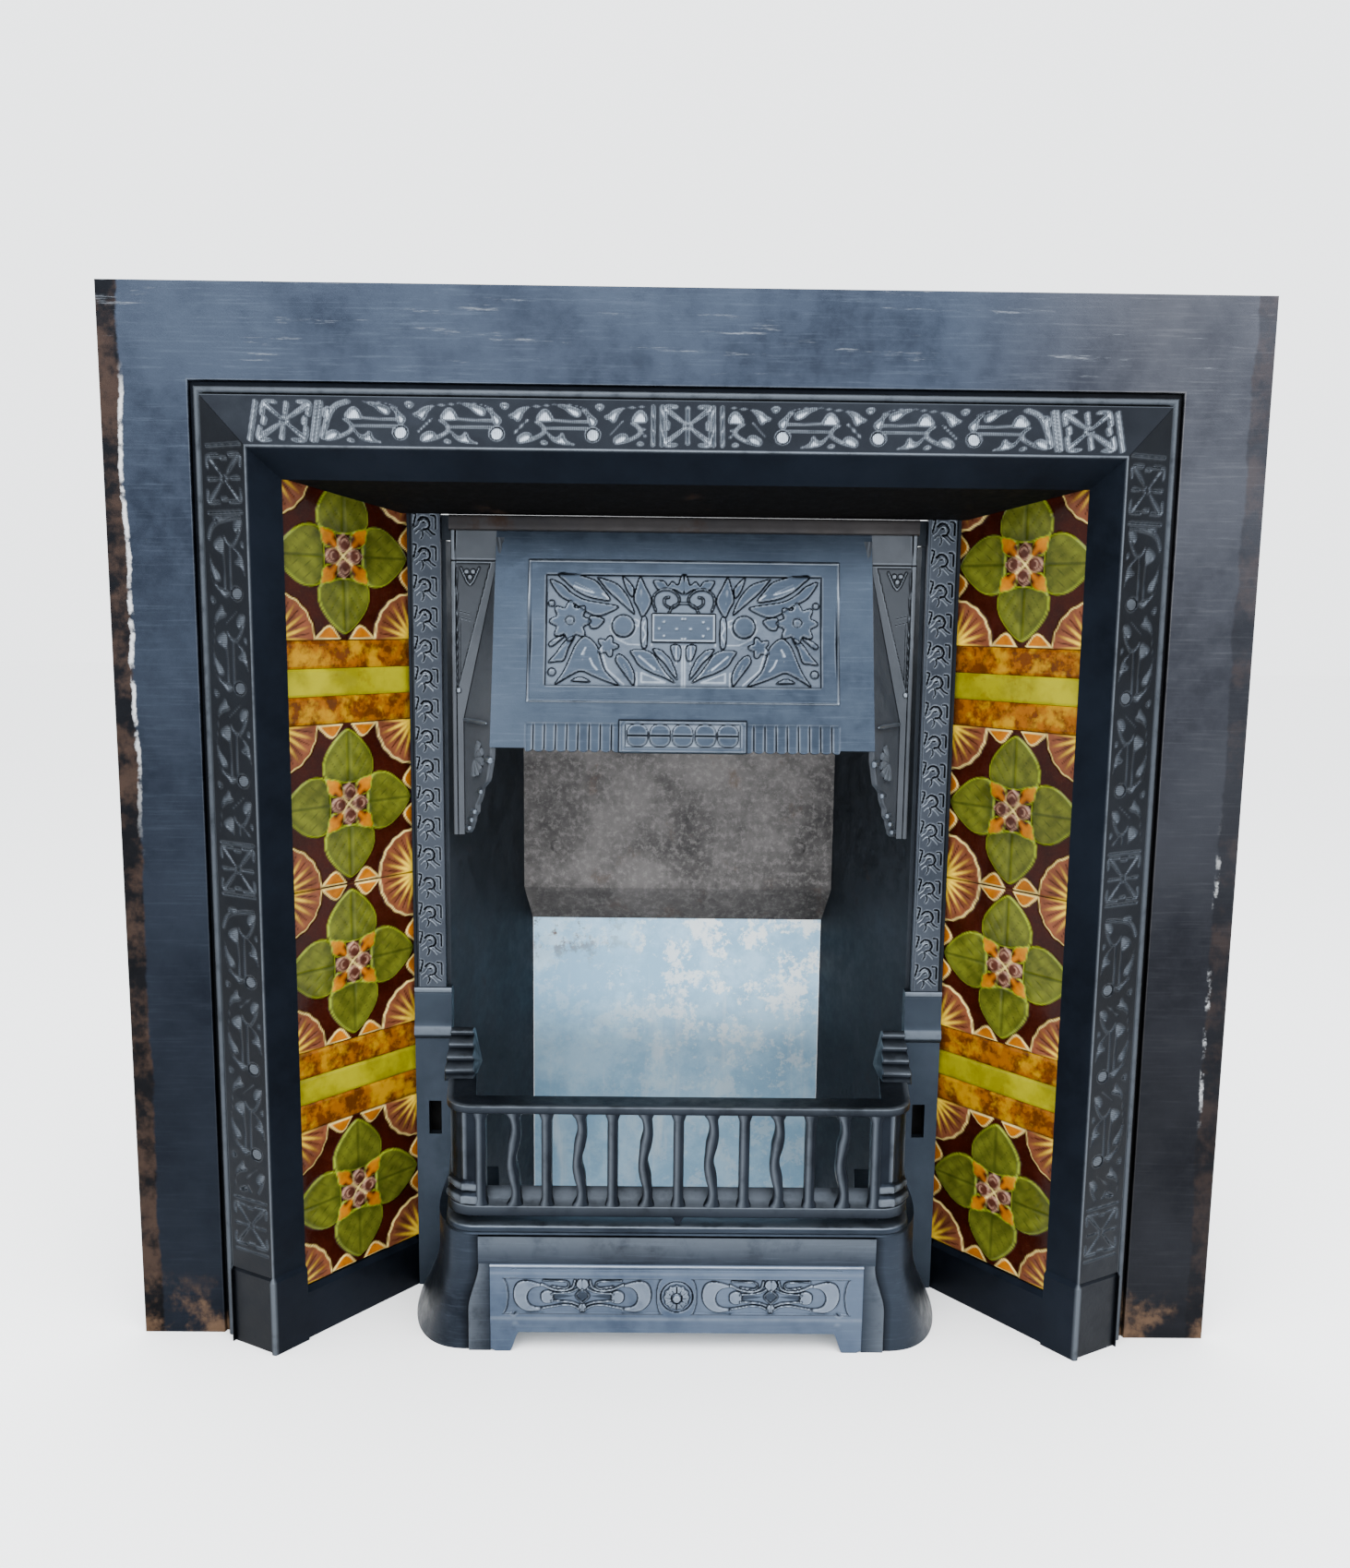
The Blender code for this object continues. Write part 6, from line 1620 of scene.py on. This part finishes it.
def cover():
    """Loose plate that hides the ash, with a sunk ribbon ornament."""
    face = plane((0, -LEDGE_PROUD + PILASTER_BACKSET - 0.002, 0), (1, 0, 0), (0, 0, 1))
    half = COVER_HALF
    step = 0.0008
    cols = int(round(2 * half / step))
    rows = int(round(COVER_HEIGHT / step))
    x = np.linspace(-half, half, cols)[None, :]
    foot = half - COVER_FOOT_WIDTH
    lift = COVER_CLEAR * eased((foot - np.abs(x)) / 0.009 + 0.7)
    lift = lift + 0.0022 * eased((np.abs(x) - half + 0.005) / 0.005)
    share = np.linspace(0, 1, rows)[:, None]
    z = lift + (COVER_HEIGHT - lift) * share
    x = np.broadcast_to(x, z.shape).copy()
    relief = Relief(x, z)
    across = np.abs(x)
    px = across - COVER_CENTRE
    pz = z - COVER_MIDDLE
    ends = COVER_REACH - 0.0056 * np.sqrt(np.clip(1 - (pz / 0.0178) ** 2, 0, 1)) + 0.004
    well = np.maximum(np.abs(px) - ends, np.abs(pz) - 0.0176)
    relief.cut(well, 0.0018, 0.0008)
    # Painted shadow line round the sunk well.
    relief.shade(0.9 * eased(1.2 - np.abs(well) / 0.0006))

    def place(points):
        pts = np.array(points, float)
        return np.stack([(pts[:, 0] - 462) / COVER_ALONG, (1200 - pts[:, 1]) / COVER_UP], -1)

    # The well's floor a little lighter as rubbing and painted highlight.
    relief.shine(0.1 * eased(-well / 0.0008))
    flip = np.abs(px)
    for points in COVER_BLOBS:
        relief.lift(to_shape(place(curve(points, 4, True)), flip, pz), 0.0018, 0.0008, bright=0.42, edge=1.0)
    for points, half_width in COVER_RIBBONS:
        away = to_line(place(curve(points, 5)), flip, pz) - half_width
        relief.lift(away, 0.0018, 0.0007, bright=0.42, edge=1.0)
    for points in COVER_HOLES:
        relief.cut(to_shape(place(curve(points, 4, True)), flip, pz), 0.0018, 0.0006, painted_shade=0.75)
    radius = np.hypot(x, pz)
    turn = np.arctan2(pz, x)
    relief.cut(np.abs(radius - 0.015) - 0.0009, 0.0012, 0.0006, painted_shade=1.0)
    petals = radius - 0.0128 * (1 - 0.1 * np.abs(np.sin(turn * 6)))
    relief.lift(petals, 0.0018, 0.001, bright=0.3, edge=1.0, swell=0.0008)
    seam = np.abs(np.sin(turn * 6)) * radius / 6
    between = np.maximum(radius - 0.0122, 0.0052 - radius)
    relief.cut(np.maximum(seam - 0.0003, between), -0.0006, 0.0004, painted_shade=0.9)
    relief.cut(np.abs(radius - 0.005) - 0.0006, -0.0002, 0.0005, painted_shade=1.0)
    relief.lift(radius - 0.004, 0.002, 0.001, bright=0.55, swell=0.0006)
    relief.lift(np.abs(z - (COVER_HEIGHT - 0.0022)) - 0.0014, 0.0012, 0.0012, bright=0.85)
    relief.cut(np.abs(z - (COVER_HEIGHT - 0.0052)) - 0.0005, 0.0004, 0.0005, painted_shade=0.6)
    relief.height -= 0.0012 * eased((0.03 - z) / 0.008)
    # Painted highlights along two bends of the cover.
    relief.shine(0.28 * eased(1 - np.abs(z - 0.0335) / 0.003))
    relief.shine(0.2 * eased(1 - np.abs(z - 0.0785) / 0.0026))
    relief.edge_wear_and_shade(step, 0.35)
    panel("cover_front", face, relief, COVER_THICKNESS, "cover", "ashpan_cover")


# Looks of the solids that stay

KEPT = {
    "left_cheek_frame": "cheek", "right_cheek_frame": "cheek", "soffit_plate": "soffit",
    "left_firebox_wall": "box", "right_firebox_wall": "box", "fireback": "back", "back_sheet": "sheet",
    "left_fireback_bolt": "back", "right_fireback_bolt": "back",
}


def dress_solids():
    """Give each solid that stays its material."""
    for name, look in KEPT.items():
        data = NODES[name].data
        data.materials.clear()
        data.materials.append(LOOKS[look])


FLOOR_HALF = 14.0
SOFTBOXES = (
    ((-1.0, -2.2, 2.6), 2.2, 90, (1, 1, 1)),
    ((1.4, -1.8, 2.2), 2.0, 50, (0.97, 0.97, 1)),
    ((0.0, -0.9, 2.4), 2.2, 70, (0.96, 0.98, 1)),
)


def stage():
    """Pale floor and soft studio light."""
    nodes = shader("floor")[0]
    nodes.feed(nodes.tree.nodes["Principled BSDF"], {"Base Color": (0.86, 0.86, 0.86, 1), "Roughness": 0.8})
    data = bpy.data.meshes.new("floor")
    corners = ((-1, -1), (1, -1), (1, 1), (-1, 1))
    data.from_pydata([(x * FLOOR_HALF, y * FLOOR_HALF, 0) for x, y in corners], [], [(0, 1, 2, 3)])
    data.materials.append(nodes.mat)
    floor = bpy.data.objects.new("floor", data)
    bpy.context.scene.collection.objects.link(floor)
    world = bpy.data.worlds.new("studio")
    world.use_nodes = True
    nodes = Nodes(world.node_tree)
    sky = nodes.ramp(nodes.axes(nodes.coordinates("Generated"))["Z"], 0.05, 0.95, 3.1, 3.6)
    nodes.feed(nodes.tree.nodes["Background"], {"Strength": sky, "Color": (0.95, 0.975, 1.0, 1)})
    bpy.context.scene.world = world
    for place, size, power, tone in SOFTBOXES:
        light = bpy.data.lights.new("softbox", "AREA")
        light.shape = "DISK"
        light.size = size
        light.energy = power
        light.color = tone
        item = bpy.data.objects.new("softbox", light)
        item.location = place
        aim = Vector((0, 0, 0.45)) - Vector(place)
        item.rotation_euler = aim.to_track_quat("-Z", "Y").to_euler()
        bpy.context.scene.collection.objects.link(item)


def camera():
    """Camera at the photograph's place and angle."""
    turn = Vector([math.radians(a) for a in CAMERA_TURN])
    spin = Matrix.Rotation(turn.length, 3, turn)
    base_rows = Matrix(((1, 0, 0), (0, 0, -1), (0, 1, 0)))
    rows = base_rows @ spin
    right, down, forward = rows[0], rows[1], rows[2]
    data = bpy.data.cameras.new("camera")
    data.sensor_fit = "HORIZONTAL"
    data.sensor_width = SENSOR
    data.lens = CAMERA_FOCUS / IMAGE_WIDTH * SENSOR
    item = bpy.data.objects.new("camera", data)
    axes = Matrix((right, -down, -forward)).transposed()
    item.matrix_world = Matrix.Translation(Vector(CAMERA_PLACE) + Vector((0, PLATE_Y, 0))) @ axes.to_4x4()
    bpy.context.scene.collection.objects.link(item)
    bpy.context.scene.camera = item


stage()
camera()
dress_solids()
plate_body()
bands()
tiles()
jambs()
canopy()
grate()
base()
cover()
